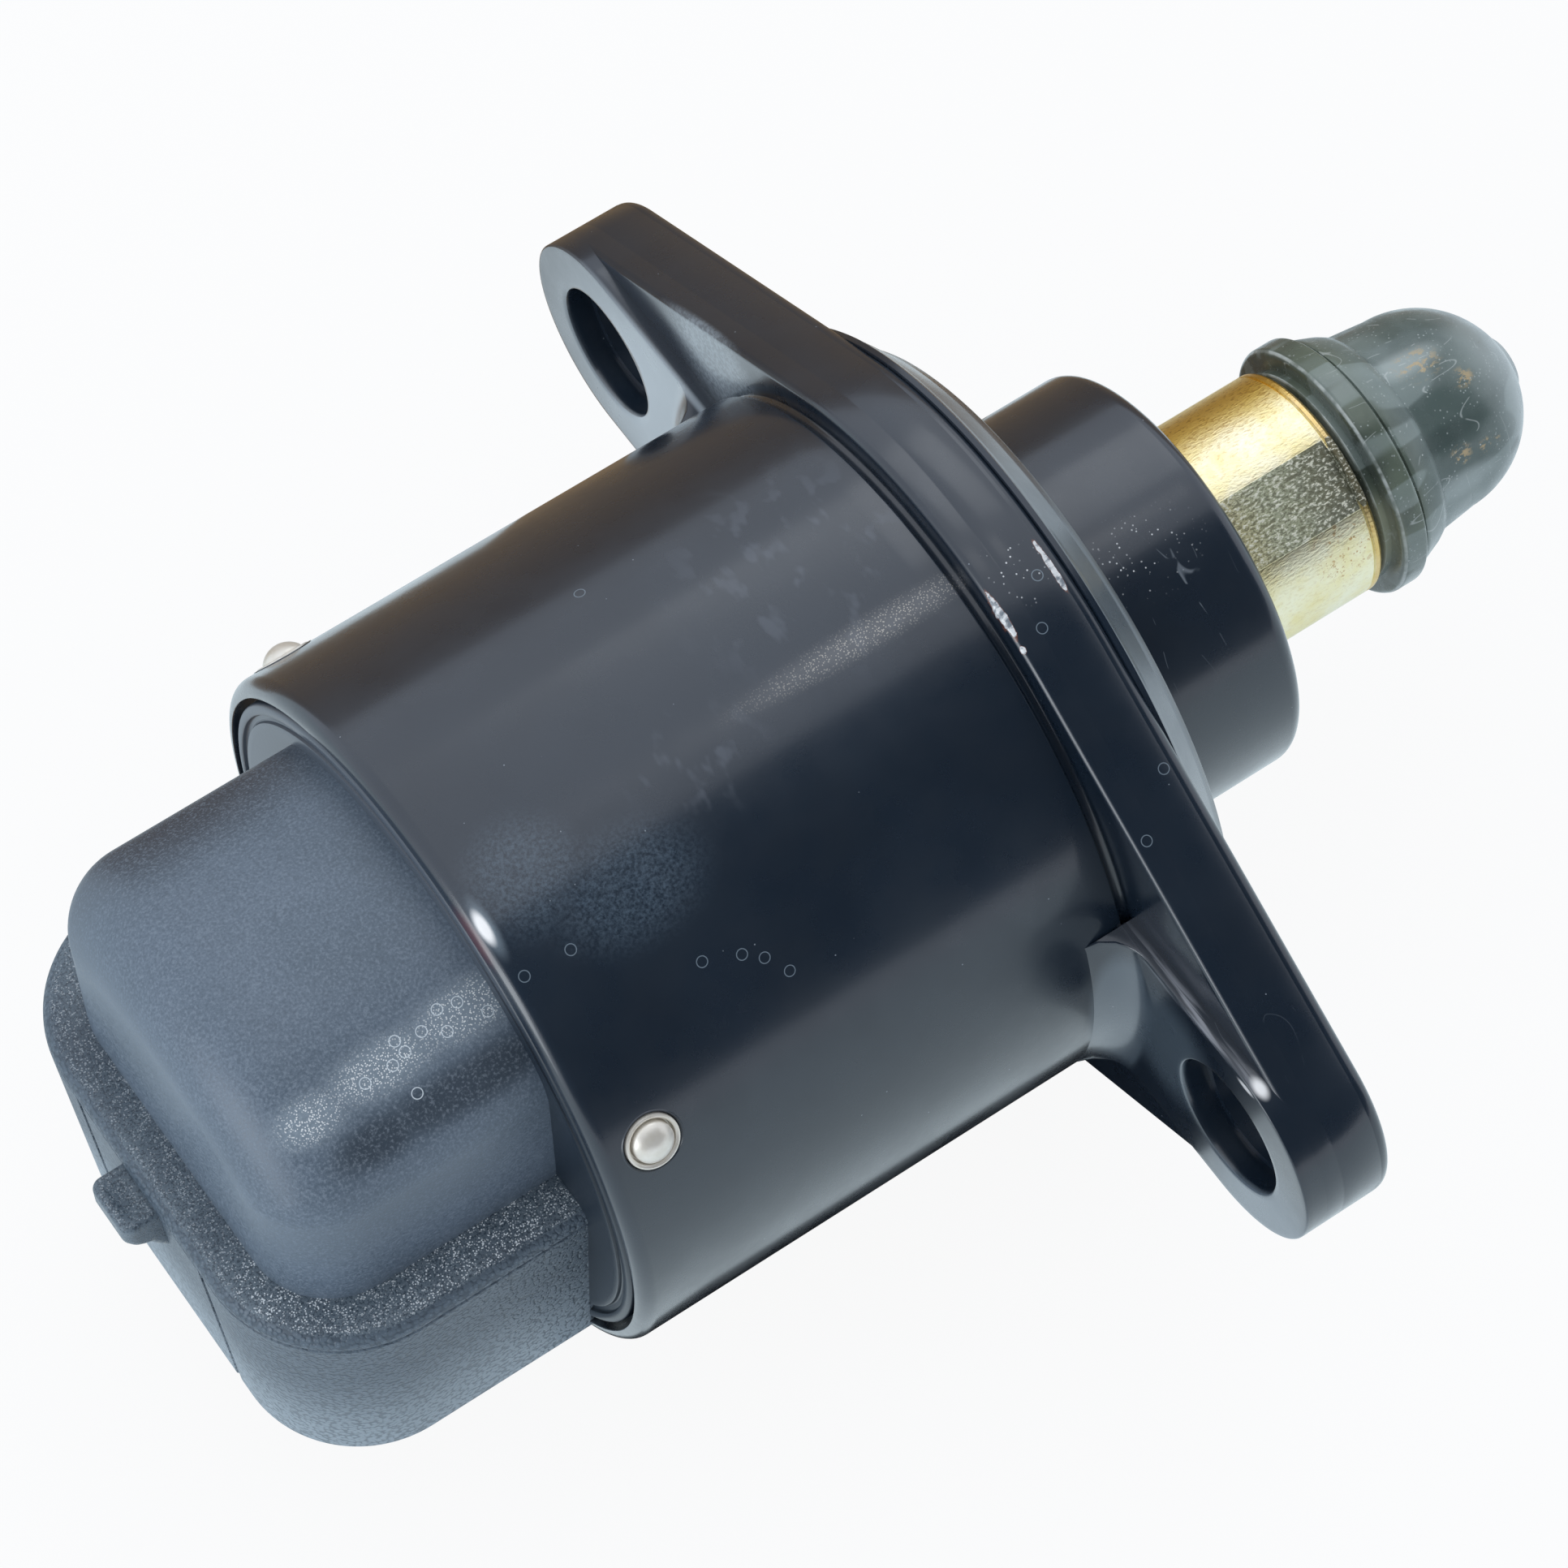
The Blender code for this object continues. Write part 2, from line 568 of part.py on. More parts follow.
def build_end_cap(finish):
    """Disc and skirt turned in one, with the hood and the rounded back joined on, then hollowed."""
    disc_rear = CAN_REAR_X
    shoulder_x = disc_rear + CAP_SHOULDER
    web_x = disc_rear + CAP_DISC_THICKNESS
    disc = rounded(
        [
            (disc_rear, 0, 0),
            (disc_rear, CAP_RADIUS, CAP_DISC_EDGE),
            (shoulder_x, CAP_RADIUS, 0),
            (shoulder_x, SKIRT_RADIUS, 0),
            (SKIRT_END_X, SKIRT_RADIUS, 0),
            (SKIRT_END_X, SEAL_STEP_RADIUS, 0),
            (SKIRT_END_X + SEAL_STEP_LENGTH, SEAL_STEP_RADIUS, 0),
            (SKIRT_END_X + SEAL_STEP_LENGTH, SKIRT_BORE_RADIUS, 0),
            (web_x, SKIRT_BORE_RADIUS, 0),
            (web_x, 0, 0),
        ]
    )
    cap = turned("end_cap", disc, OUTER_STEPS, finish)

    below_hood = HOOD_BOTTOM_Z - 2 * GAP
    low = (disc_rear - CUT_PAST, -CAN_RADIUS, -CAN_RADIUS)
    cut(cap, block("disc flat", low, (disc_rear + CAP_CUT_DEPTH, CAN_RADIUS, below_hood)))

    hood_front = disc_rear + SINK
    levels = []
    for drop, inset in ((0, 1.0), (0.13, 0.5), (0.5, 0.13), (1.0, 0)):
        outline = hood_outline(HOOD_TOP_ROUNDING * inset, hood_front)
        levels.append((HOOD_TOP_Z - HOOD_TOP_ROUNDING * drop, outline))
    lean = (HOOD_TOP_Z - HOOD_BOTTOM_Z) * tan(radians(HOOD_DRAFT))
    levels.append((HOOD_BOTTOM_Z, hood_outline(lean, hood_front)))
    join(cap, make_object("hood", loft_shape(levels, along_z), finish))
    join(cap, make_object("dome", dome_shape(0, SOCKET_ROOF_Z + SINK, disc_rear + 1.5 * SINK), finish))
    join(cap, build_latch(finish))
    near, outside = CAP_RADIUS + GAP / 3, 1.5 * CAN_RADIUS
    rim = [(disc_rear - GAP, near), (disc_rear - GAP, outside), (web_x, outside), (web_x, near)]
    cut(cap, turned("rim clearance", rim, OUTER_STEPS))

    plan = hood_outline(HOOD_WALL, SOCKET_FRONT_X)
    cut(cap, make_object("socket", prism_shape(plan, HOOD_BOTTOM_Z - CUT_PAST, SOCKET_ROOF_Z, along_z)))
    floor_z = HOOD_TOP_Z - GAP
    cut(cap, make_object("dome hollow", dome_shape(DOME_WALL, floor_z, web_x + CUT_PAST)))

    boss = [(disc_rear + SINK / 2, 0), (disc_rear + SINK / 2, BOSS_RADIUS), (REAR_BUSH_FRONT_X, BOSS_RADIUS)]
    join(cap, turned("bush boss", [*boss, (REAR_BUSH_FRONT_X, 0)], INNER_STEPS, finish))
    pocket = [(REAR_BUSH_REAR_X - GAP, 0), (REAR_BUSH_REAR_X - GAP, REAR_BUSH_RADIUS + GAP)]
    pocket += [(REAR_BUSH_FRONT_X + CUT_PAST, REAR_BUSH_RADIUS + GAP), (REAR_BUSH_FRONT_X + CUT_PAST, 0)]
    cut(cap, turned("bush pocket", pocket, INNER_STEPS))

    pin_floor = CAN_RADIUS + PIN_HEAD_HEIGHT - PIN_LENGTH - GAP
    pin_way = [(pin_floor, 0), (pin_floor, PIN_RADIUS + PIN_CLEARANCE)]
    pin_way += [(CAN_RADIUS, PIN_RADIUS + PIN_CLEARANCE), (CAN_RADIUS, 0)]
    for angle in pin_angles():
        cut(cap, radial_rod(f"pin pocket {angle:.0f}", pin_way, angle, SMALL_STEPS))

    half_slot = (TERMINAL_THICKNESS / 2 + GAP, TERMINAL_WIDTH / 2 + GAP)
    for number, y in terminal_places():
        low = (SOCKET_MIDDLE_X - half_slot[0], y - half_slot[1], SOCKET_ROOF_Z - CUT_PAST)
        high = (SOCKET_MIDDLE_X + half_slot[0], y + half_slot[1], floor_z + CUT_PAST)
        cut(cap, block(f"terminal slot {number}", low, high))
    for side in (1, -1):
        y = side * LATCH_SLOT_OFFSET
        low = (HOOD_REAR_X - CUT_PAST, y - LATCH_SLOT_WIDTH / 2, HOOD_BOTTOM_Z - CUT_PAST)
        high = (HOOD_REAR_X + LATCH_SLOT_DEPTH, y + LATCH_SLOT_WIDTH / 2, HOOD_TOP_Z - 2 * HOOD_TOP_ROUNDING)
        cut(cap, block(f"latch slot {side}", low, high))
    return cap


def terminal_places():
    """Number and Y place of each terminal."""
    first = -TERMINAL_PITCH * (TERMINAL_COUNT - 1) / 2
    return [(k + 1, first + TERMINAL_PITCH * k) for k in range(TERMINAL_COUNT)]


def build_terminal(number, y, finish):
    """A blade that stands in the socket, passes the roof and bends forward to the coils."""
    half = TERMINAL_THICKNESS / 2
    rear_x = SOCKET_MIDDLE_X - half
    front_x = SOCKET_MIDDLE_X + half
    side = [
        (rear_x + half / 2, TERMINAL_TIP_Z, 0),
        (rear_x, TERMINAL_TIP_Z + TERMINAL_THICKNESS, 0),
        (rear_x, TERMINAL_ARM_Z + half, TERMINAL_THICKNESS),
        (TERMINAL_END_X, TERMINAL_ARM_Z + half, 0),
        (TERMINAL_END_X, TERMINAL_ARM_Z - half, 0),
        (front_x, TERMINAL_ARM_Z - half, half / 2),
        (front_x, TERMINAL_TIP_Z + TERMINAL_THICKNESS, 0),
        (front_x - half / 2, TERMINAL_TIP_Z, 0),
    ]
    low, high = y - TERMINAL_WIDTH / 2, y + TERMINAL_WIDTH / 2
    shape = prism_shape(rounded(side), low, high, lambda u, v, w: (u, w, v))
    return make_object(f"terminal_{number}", shape, finish)


def build_pin(number, angle, finish):
    """A dowel with a domed head and a narrow groove round it."""
    top = CAN_RADIUS + PIN_HEAD_HEIGHT
    bottom = top - PIN_LENGTH
    crown = PIN_RADIUS * 0.8
    outline = [
        (bottom, 0),
        (bottom, PIN_RADIUS),
        (top - PIN_HEAD_HEIGHT, PIN_RADIUS),
        (top - PIN_HEAD_HEIGHT * 0.7, PIN_RADIUS * 0.93),
        (top - PIN_HEAD_HEIGHT * 0.7, crown),
        (top - PIN_HEAD_HEIGHT * 0.25, crown * 0.75),
        (top, 0),
    ]
    return radial_rod(f"retaining_pin_{number}", outline, angle, SMALL_STEPS, finish)


def build_cap_seal(finish):
    """O-ring on the cap's seal step."""
    centre_x = SKIRT_END_X + GAP + SEAL_SECTION_RADIUS
    centre_r = (SEAL_STEP_RADIUS + CAN_BORE_RADIUS) / 2
    section = arc(centre_x, centre_r, SEAL_SECTION_RADIUS, 0, 315, 7)
    return turned("cap_seal", section, INNER_STEPS, finish)


def claw_shape(root_x, tip_x, first_angle):
    """Claws that taper from root to tip, spaced evenly on a cylinder."""
    shape = bmesh.new()
    for claw in range(CLAWS_PER_SIDE):
        middle = first_angle + 360.0 / CLAWS_PER_SIDE * claw
        rings = []
        for x, half_angle in ((root_x, CLAW_ROOT_ANGLE), (tip_x, CLAW_TIP_ANGLE)):
            ring = []
            for radius, order in ((CLAW_INNER_RADIUS, (-1, 0, 1)), (CLAW_OUTER_RADIUS, (1, 0, -1))):
                for part in order:
                    angle = radians(middle + part * half_angle)
                    ring.append(shape.verts.new((x, radius * cos(angle), radius * sin(angle))))
            rings.append(ring)
        shape.faces.new(rings[0])
        shape.faces.new(rings[1])
        for k in range(6):
            after = (k + 1) % 6
            shape.faces.new((rings[0][k], rings[0][after], rings[1][after], rings[1][k]))
    return shape


def build_stator_half(word, outer_x, direction, first_angle, finishes):
    """Shell, pole plate, bobbin and winding of one half. direction points from its closed end inwards."""
    steel, plastic, copper = finishes

    def x_at(depth):
        return outer_x + direction * depth

    ring_bore = (CLAW_INNER_RADIUS + CLAW_OUTER_RADIUS) / 2
    shell_bore = SHELL_RADIUS - SHELL_WALL
    shell = [
        (x_at(0), ring_bore),
        (x_at(0), SHELL_RADIUS),
        (x_at(HALF_LENGTH), SHELL_RADIUS),
        (x_at(HALF_LENGTH), shell_bore),
        (x_at(SHELL_WALL), shell_bore),
        (x_at(SHELL_WALL), ring_bore),
    ]
    root = SHELL_WALL * 0.25
    tip = HALF_LENGTH - SHELL_WALL - GAP
    cup = turned(f"stator_shell_{word}", shell, INNER_STEPS, steel)
    join(cup, make_object(f"shell claws {word}", claw_shape(x_at(root), x_at(tip), first_angle), steel))

    plate_near = HALF_LENGTH - SHELL_WALL
    plate = [
        (x_at(plate_near), ring_bore),
        (x_at(plate_near), BOBBIN_RADIUS),
        (x_at(HALF_LENGTH), BOBBIN_RADIUS),
        (x_at(HALF_LENGTH), ring_bore),
    ]
    step = 180.0 / CLAWS_PER_SIDE
    claws = claw_shape(x_at(HALF_LENGTH - root), x_at(SHELL_WALL + GAP), first_angle + step)
    pole = turned(f"pole_plate_{word}", plate, INNER_STEPS, steel)
    join(pole, make_object(f"plate claws {word}", claws, steel))

    start = SHELL_WALL + GAP
    end = plate_near - GAP
    floor = BOBBIN_BORE_RADIUS + BOBBIN_WALL
    bobbin = [
        (x_at(start), BOBBIN_BORE_RADIUS),
        (x_at(start), BOBBIN_RADIUS),
        (x_at(start + BOBBIN_WALL), BOBBIN_RADIUS),
        (x_at(start + BOBBIN_WALL), floor),
        (x_at(end - BOBBIN_WALL), floor),
        (x_at(end - BOBBIN_WALL), BOBBIN_RADIUS),
        (x_at(end), BOBBIN_RADIUS),
        (x_at(end), BOBBIN_BORE_RADIUS),
    ]
    turned(f"bobbin_{word}", bobbin, INNER_STEPS, plastic)

    coil_start = x_at(start + BOBBIN_WALL + GAP)
    coil_end = x_at(end - BOBBIN_WALL - GAP)
    coil_top = BOBBIN_RADIUS - WINDING_INSET
    coil = [(coil_start, floor + GAP), (coil_start, coil_top), (coil_end, coil_top), (coil_end, floor + GAP)]
    turned(f"winding_{word}", coil, INNER_STEPS, copper)


def build_rotor(magnet_finish, hub_finish):
    """Magnet ring on a hub that is also the screw's nut."""
    rear_x = STACK_REAR_X + MAGNET_END_INSET
    front_x = STACK_FRONT_X - MAGNET_END_INSET
    magnet = [(rear_x, MAGNET_BORE_RADIUS), (rear_x, MAGNET_RADIUS), (front_x, MAGNET_RADIUS)]
    turned("rotor_magnet", [*magnet, (front_x, MAGNET_BORE_RADIUS)], INNER_STEPS, magnet_finish)

    collar_front = rear_x - GAP
    collar_rear = collar_front - HUB_COLLAR_THICKNESS
    nose_x = BEARING_REAR_X - RUNNING_GAP
    hub_rear = CAN_REAR_X + HUB_REAR_INSET
    hub = [
        (hub_rear, SCREW_BORE_RADIUS),
        (hub_rear, HUB_REAR_JOURNAL_RADIUS),
        (collar_rear, HUB_REAR_JOURNAL_RADIUS),
        (collar_rear, HUB_COLLAR_RADIUS),
        (collar_front, HUB_COLLAR_RADIUS),
        (collar_front, HUB_BARREL_RADIUS),
        (front_x, HUB_BARREL_RADIUS),
        (front_x, HUB_SHOULDER_RADIUS),
        (nose_x, HUB_SHOULDER_RADIUS),
        (nose_x, HUB_FRONT_JOURNAL_RADIUS),
        (BEARING_FRONT_X, HUB_FRONT_JOURNAL_RADIUS),
        (BEARING_FRONT_X, SCREW_BORE_RADIUS),
    ]
    turned("rotor_hub", hub, INNER_STEPS, hub_finish)
    return collar_rear


def build_rear_bearing(collar_rear, bronze, steel):
    """Sintered bush in the cap and the wavy washer that takes up the rotor's end play."""
    bush = [
        (REAR_BUSH_REAR_X, REAR_BUSH_BORE_RADIUS),
        (REAR_BUSH_REAR_X, REAR_BUSH_RADIUS),
        (REAR_BUSH_FRONT_X, REAR_BUSH_RADIUS),
        (REAR_BUSH_FRONT_X, REAR_BUSH_BORE_RADIUS),
    ]
    turned("rear_bush", bush, INNER_STEPS, bronze)
    middle = (REAR_BUSH_FRONT_X + collar_rear) / 2
    near, far = middle - WASHER_THICKNESS / 2, middle + WASHER_THICKNESS / 2
    low, high = REAR_BUSH_BORE_RADIUS, REAR_BUSH_RADIUS
    washer = [(near, low), (near, high), (far, high), (far, low)]

    def wave(angle):
        return WASHER_WAVE * sin(WASHER_WAVES * angle)

    turned("wave_washer", washer, INNER_STEPS, steel, wave)


def build_front_bearing(steel):
    """Ball bearing: two grooved races and their balls."""
    middle_x = (BEARING_REAR_X + BEARING_FRONT_X) / 2
    inner_radius = HUB_FRONT_JOURNAL_RADIUS + RUNNING_GAP
    ball_circle = (inner_radius + BEARING_OUTER_RADIUS) / 2
    groove = BALL_RADIUS + BALL_GAP

    def race(name, wall_radius, land_radius, side):
        depth = ball_circle - land_radius
        reach = (groove**2 - depth**2) ** 0.5
        outline = [
            (BEARING_REAR_X, wall_radius),
            (BEARING_REAR_X, land_radius),
            (middle_x - reach, land_radius),
            (middle_x, ball_circle + side * groove),
            (middle_x + reach, land_radius),
            (BEARING_FRONT_X, land_radius),
            (BEARING_FRONT_X, wall_radius),
        ]
        turned(name, outline, BEARING_STEPS, steel)

    race("bearing_inner_race", inner_radius, inner_radius + BEARING_RACE_WALL, -1)
    race("bearing_outer_race", BEARING_OUTER_RADIUS, BEARING_OUTER_RADIUS - BEARING_RACE_WALL, 1)
    for number in range(BALL_COUNT):
        angle = 2 * pi * number / BALL_COUNT
        shape = bmesh.new()
        bmesh.ops.create_uvsphere(shape, u_segments=8, v_segments=5, radius=BALL_RADIUS)
        ball = make_object(f"bearing_ball_{number + 1}", shape, steel, 60.0)
        ball.location = (middle_x, ball_circle * cos(angle), ball_circle * sin(angle))


def flats(name, near, far, half_width, rear_x, front_x):
    """Two blocks on opposite sides, from distance near to distance far from the axis."""
    shape = bmesh.new()
    for side in (1, -1):
        first, last = side * near, side * far
        corners = [(first, -half_width), (last, -half_width), (last, half_width), (first, half_width)]
        rear = [shape.verts.new((rear_x, u, v)) for u, v in corners]
        front = [shape.verts.new((front_x, u, v)) for u, v in corners]
        shape.faces.new(rear)
        shape.faces.new(front)
        for k in range(4):
            after = (k + 1) % 4
            shape.faces.new((rear[k], rear[after], front[after], front[k]))
    return turn_about_x(make_object(name, shape), SLEEVE_FLAT_ANGLE)


def build_spigot_fittings(bronze, rubber):
    """Guide bush whose flats keep the sleeve from turning, and the seal in the mouth."""
    guide = [
        (GUIDE_REAR_X, GUIDE_BORE_RADIUS),
        (GUIDE_REAR_X, GUIDE_RADIUS),
        (GUIDE_FRONT_X, GUIDE_RADIUS),
        (GUIDE_FRONT_X, GUIDE_BORE_RADIUS),
    ]
    bush = turned("guide_bush", guide, INNER_STEPS, bronze)
    flat_radius = SLEEVE_RADIUS - SLEEVE_FLAT_DEPTH + RUNNING_GAP
    far = GUIDE_BORE_RADIUS + SINK
    join(bush, flats("bush flats", flat_radius, far, GUIDE_FLAT_HALF_WIDTH, GUIDE_REAR_X, GUIDE_FRONT_X))

    lip_x = (SHAFT_SEAL_REAR_X + SHAFT_SEAL_FRONT_X) / 2
    seal = [
        (SHAFT_SEAL_REAR_X + GAP, GUIDE_BORE_RADIUS + SHAFT_SEAL_WALL / 3),
        (SHAFT_SEAL_REAR_X + GAP, SHAFT_SEAL_RADIUS),
        (SHAFT_SEAL_FRONT_X, SHAFT_SEAL_RADIUS),
        (SHAFT_SEAL_FRONT_X, GUIDE_BORE_RADIUS + SHAFT_SEAL_WALL / 4),
        (lip_x + GAP, GUIDE_BORE_RADIUS),
        (lip_x, GUIDE_BORE_RADIUS),
    ]
    turned("shaft_seal", seal, INNER_STEPS, rubber)


def build_plunger(steel, brass, plastic):
    """Lead screw, sleeve and pintle. Their origins lie on the slide's axis."""
    chamfer = SCREW_RADIUS * 0.25
    screw = [
        (SCREW_REAR_X, 0),
        (SCREW_REAR_X, SCREW_RADIUS - chamfer),
        (SCREW_REAR_X + chamfer, SCREW_RADIUS),
        (SCREW_FRONT_X, SCREW_RADIUS),
        (SCREW_FRONT_X, 0),
    ]
    turned("lead_screw", screw, SMALL_STEPS, steel)

    lip_x = SLEEVE_FRONT_X - SLEEVE_LIP
    sleeve = [
        (SLEEVE_REAR_X, SLEEVE_BORE_RADIUS),
        (SLEEVE_REAR_X, SLEEVE_RADIUS),
        (lip_x - SLEEVE_LIP_GROOVE, SLEEVE_RADIUS),
        (lip_x - SLEEVE_LIP_GROOVE, SLEEVE_RADIUS - SLEEVE_LIP_GROOVE),
        (lip_x, SLEEVE_RADIUS - SLEEVE_LIP_GROOVE),
        (lip_x, SLEEVE_RADIUS),
        (SLEEVE_FRONT_X - SLEEVE_LIP_GROOVE, SLEEVE_RADIUS),
        (SLEEVE_FRONT_X, SLEEVE_RADIUS - SLEEVE_LIP_GROOVE),
        (SLEEVE_FRONT_X, SLEEVE_BORE_RADIUS),
    ]
    tube = turned("plunger_sleeve", sleeve, SLEEVE_STEPS, brass)
    flat_radius = SLEEVE_RADIUS - SLEEVE_FLAT_DEPTH
    far = SLEEVE_RADIUS + CUT_PAST
    cut(tube, flats("sleeve flats", flat_radius, far, SLEEVE_RADIUS, 0, lip_x - SLEEVE_LIP_GROOVE))

    turned("pintle", pintle_outline(), SLEEVE_STEPS, plastic)


def pintle_outline():
    """Stem, neck, collar, ring and domed head, with a blind bore for the screw."""
    stem_radius = SLEEVE_BORE_RADIUS - GAP
    stem_rear = SLEEVE_FRONT_X - PINTLE_STEM_LENGTH
    bore_radius = SCREW_RADIUS + GAP
    neck_x = SLEEVE_FRONT_X + GAP
    collar_x = neck_x + PINTLE_NECK_LENGTH
    ring_x = collar_x + COLLAR_LENGTH
    dome_x = ring_x + RING_LENGTH
    centre_x = dome_x + HEAD_STRAIGHT
    tip_angle = asin(TIP_FLAT_RADIUS / HEAD_RADIUS) * 180 / pi
    head = arc(centre_x, 0, HEAD_RADIUS, 90, tip_angle, 6)
    rim = rounded(
        [
            (SCREW_FRONT_X + GAP, bore_radius, 0),
            (stem_rear, bore_radius, 0),
            (stem_rear, stem_radius, 0),
            (neck_x, stem_radius, 0),
            (neck_x, PINTLE_NECK_RADIUS, 0),
            (collar_x, PINTLE_NECK_RADIUS, 0),
            (collar_x, COLLAR_RADIUS, 0.3 * MM),
            (ring_x, COLLAR_RADIUS, 0.2 * MM),
            (ring_x, RING_RADIUS - PINTLE_GROOVE, 0),
            (ring_x + PINTLE_GROOVE, RING_RADIUS, 0),
            (dome_x, RING_RADIUS - RING_TAPER, 0),
            (dome_x, HEAD_BASE_RADIUS, 0),
        ]
    )
    return [(SCREW_FRONT_X + GAP, 0), *rim, *head, (head[-1][0], 0)]


def build_valve():
    """Makes every piece of the valve."""
    clear_scene()
    black = principled("black cast housing", (0.014, 0.018, 0.026), 0.34)
    grey = principled("dark grey moulded cap", (0.055, 0.068, 0.085), 0.52)
    steel = principled("bright steel", (0.62, 0.61, 0.58), 0.22, 1.0)
    tinned = principled("tinned brass terminal", (0.66, 0.63, 0.55), 0.3, 1.0)
    plated = principled("pole steel", (0.42, 0.43, 0.45), 0.4, 1.0)
    copper = principled("enamelled copper", (0.62, 0.22, 0.08), 0.35, 1.0)
    ferrite = principled("ferrite magnet", (0.03, 0.03, 0.035), 0.6)
    white = principled("white moulded nylon", (0.72, 0.71, 0.66), 0.5)
    bronze = principled("sintered bronze", (0.45, 0.28, 0.12), 0.45, 1.0)
    rubber = principled("black rubber", (0.012, 0.012, 0.012), 0.7)
    gold = principled("yellow passivated sleeve", (0.72, 0.52, 0.14), 0.28, 1.0)
    green = principled("dark grey green pintle", (0.045, 0.062, 0.06), 0.25)

    build_housing(black)
    build_end_cap(grey)
    for number, y in terminal_places():
        build_terminal(number, y, tinned)
    for number, angle in enumerate(pin_angles(), 1):
        build_pin(number, angle, steel)
    build_cap_seal(rubber)
    build_stator_half("rear", STACK_REAR_X, 1, 0.0, (plated, white, copper))
    build_stator_half("front", STACK_FRONT_X, -1, 90.0 / CLAWS_PER_SIDE, (plated, white, copper))
    collar_rear = build_rotor(ferrite, white)
    build_rear_bearing(collar_rear, bronze, steel)
    build_front_bearing(steel)
    build_spigot_fittings(bronze, rubber)
    build_plunger(steel, gold, green)


build_valve()
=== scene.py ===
"""The looks of the idle air control valve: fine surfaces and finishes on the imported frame, camera and light.

Lengths are in millimetres until a mesh is made. Each surface is a grid of points: its rows follow a profile
and its columns go round, and a face looks towards (column direction) x (row direction).
"""

import json
from functools import partial

import bpy
import numpy as np
from mathutils import Matrix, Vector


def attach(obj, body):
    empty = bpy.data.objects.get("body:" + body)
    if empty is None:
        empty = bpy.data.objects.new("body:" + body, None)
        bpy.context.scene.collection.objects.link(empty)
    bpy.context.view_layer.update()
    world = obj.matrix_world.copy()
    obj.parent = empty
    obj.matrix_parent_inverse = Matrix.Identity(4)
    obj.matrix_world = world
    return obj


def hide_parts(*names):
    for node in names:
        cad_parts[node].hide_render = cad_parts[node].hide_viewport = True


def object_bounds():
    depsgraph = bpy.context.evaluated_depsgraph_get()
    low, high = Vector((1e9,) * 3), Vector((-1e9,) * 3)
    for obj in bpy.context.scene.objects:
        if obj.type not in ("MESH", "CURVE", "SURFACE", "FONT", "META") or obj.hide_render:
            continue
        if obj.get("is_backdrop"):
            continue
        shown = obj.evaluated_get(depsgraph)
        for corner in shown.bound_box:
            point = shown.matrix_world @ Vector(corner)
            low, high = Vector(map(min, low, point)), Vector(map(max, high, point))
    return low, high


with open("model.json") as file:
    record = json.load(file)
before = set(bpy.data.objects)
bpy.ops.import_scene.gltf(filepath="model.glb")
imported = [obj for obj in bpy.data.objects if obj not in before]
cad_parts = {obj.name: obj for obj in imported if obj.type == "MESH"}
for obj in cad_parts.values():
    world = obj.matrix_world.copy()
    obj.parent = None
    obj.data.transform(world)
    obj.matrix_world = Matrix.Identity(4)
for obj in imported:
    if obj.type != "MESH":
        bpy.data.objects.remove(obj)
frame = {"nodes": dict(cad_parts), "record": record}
SIZE_AT_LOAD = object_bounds()
MM = 0.001

# The valve's sizes, the same as in the solids
CAN_R, CAN_REAR, CAN_BORE = 16.5, -30.5, 15.2
RIM_BORE, RIM_ROUND = 15.75, 0.7
PLATE_REAR, PLATE_FRONT, PLATE_R, LUG_R, LUG_Y = -4.75, -0.95, 17.45, 5.6, 23.8
PAD_BACK, PAD_HALF, PAD_ROUND, EDGE_ROUND = -5.5, 5.6, 0.1, 0.6
FILLET_X, FILLET_R, FILLET = -7.5, 18.5, 2.0
HOLE_R, RECESS_R, RECESS_X = 2.9, 3.3, -4.2
PIN_X, PIN_HOLE, PIN_ANGLES = -28.0, 1.3, (148, 268, 28)
DISC_R, DISC_CUT_Z = 15.45, -11.9
DOME_R, DOME_HALF, DOME_REAR, DOME_CORNER, DOME_ROUND = 13.9, 10.05, -43.1, 3.0, 3.8
HOOD_HALF, HOOD_REAR, HOOD_TOP, HOOD_BOTTOM, HOOD_CORNER = 12.35, -45.1, 1.7, -11.3, 6.4
LEDGE_ROUND, HOOD_DRAFT, HOOD_WALL, ROOF_Z, SOCKET_FRONT, HOOD_FRONT = 0.75, 0.0577, 1.9, -0.2, -32.4, -30.1
LATCH_TIP, LATCH_TOP, LATCH_HALF = -46.75, 0.45, 1.5
SLEEVE_R, SLEEVE_REAR, SLEEVE_FRONT, FLAT_R, FLAT_ANGLE = 5.6, 2.8, 16.6, 5.33, 120
LEAN = np.arcsin((PLATE_R - LUG_R) / LUG_Y)

# Finer forms that only the looks have
REAR_ROUND, EDGE_STEP = 0.3, 0.012  # the plate's rear edge, and the faint step before its front edge
PLATE_FOOT_R, LUG_FOOT_R, PAD_FOOT_R, PAD_FOOT_X = 16.1, 17.3, 16.42, -4.45  # where faces end inside others
HOLE_EDGE, RECESS_EDGE, HOLE_GAP = 0.15, 0.16, 4.2  # broken edges of the bolt holes, and the gap for a lug
WINDOW_HALF, WINDOW_TURN, BURR = 1.75, 6, 0.14  # round a pin: half length, half width in degrees, and burr
DRAFT_TOP, MOUTH_ROUND = 0.95, 0.12  # where the hood's draft starts, and the rounding at its mouth
SLOT_Y, SLOT_HALF, SLOT_DEPTH = 4.9, 0.2, 0.3  # the two thin slots in the hood's rear wall
LATCH_ROOT, LATCH_CORNER, LATCH_ROUND = -44.6, 0.55, 0.24
SLEEVE_WALL, HEAD_R, TIP_FLAT_R = 0.7, 4.85, 1.3
WELD_STEPS = 5000  # a millimetre has so many, and points on the same step become one
TINY, FAR = 1e-6, 1e3


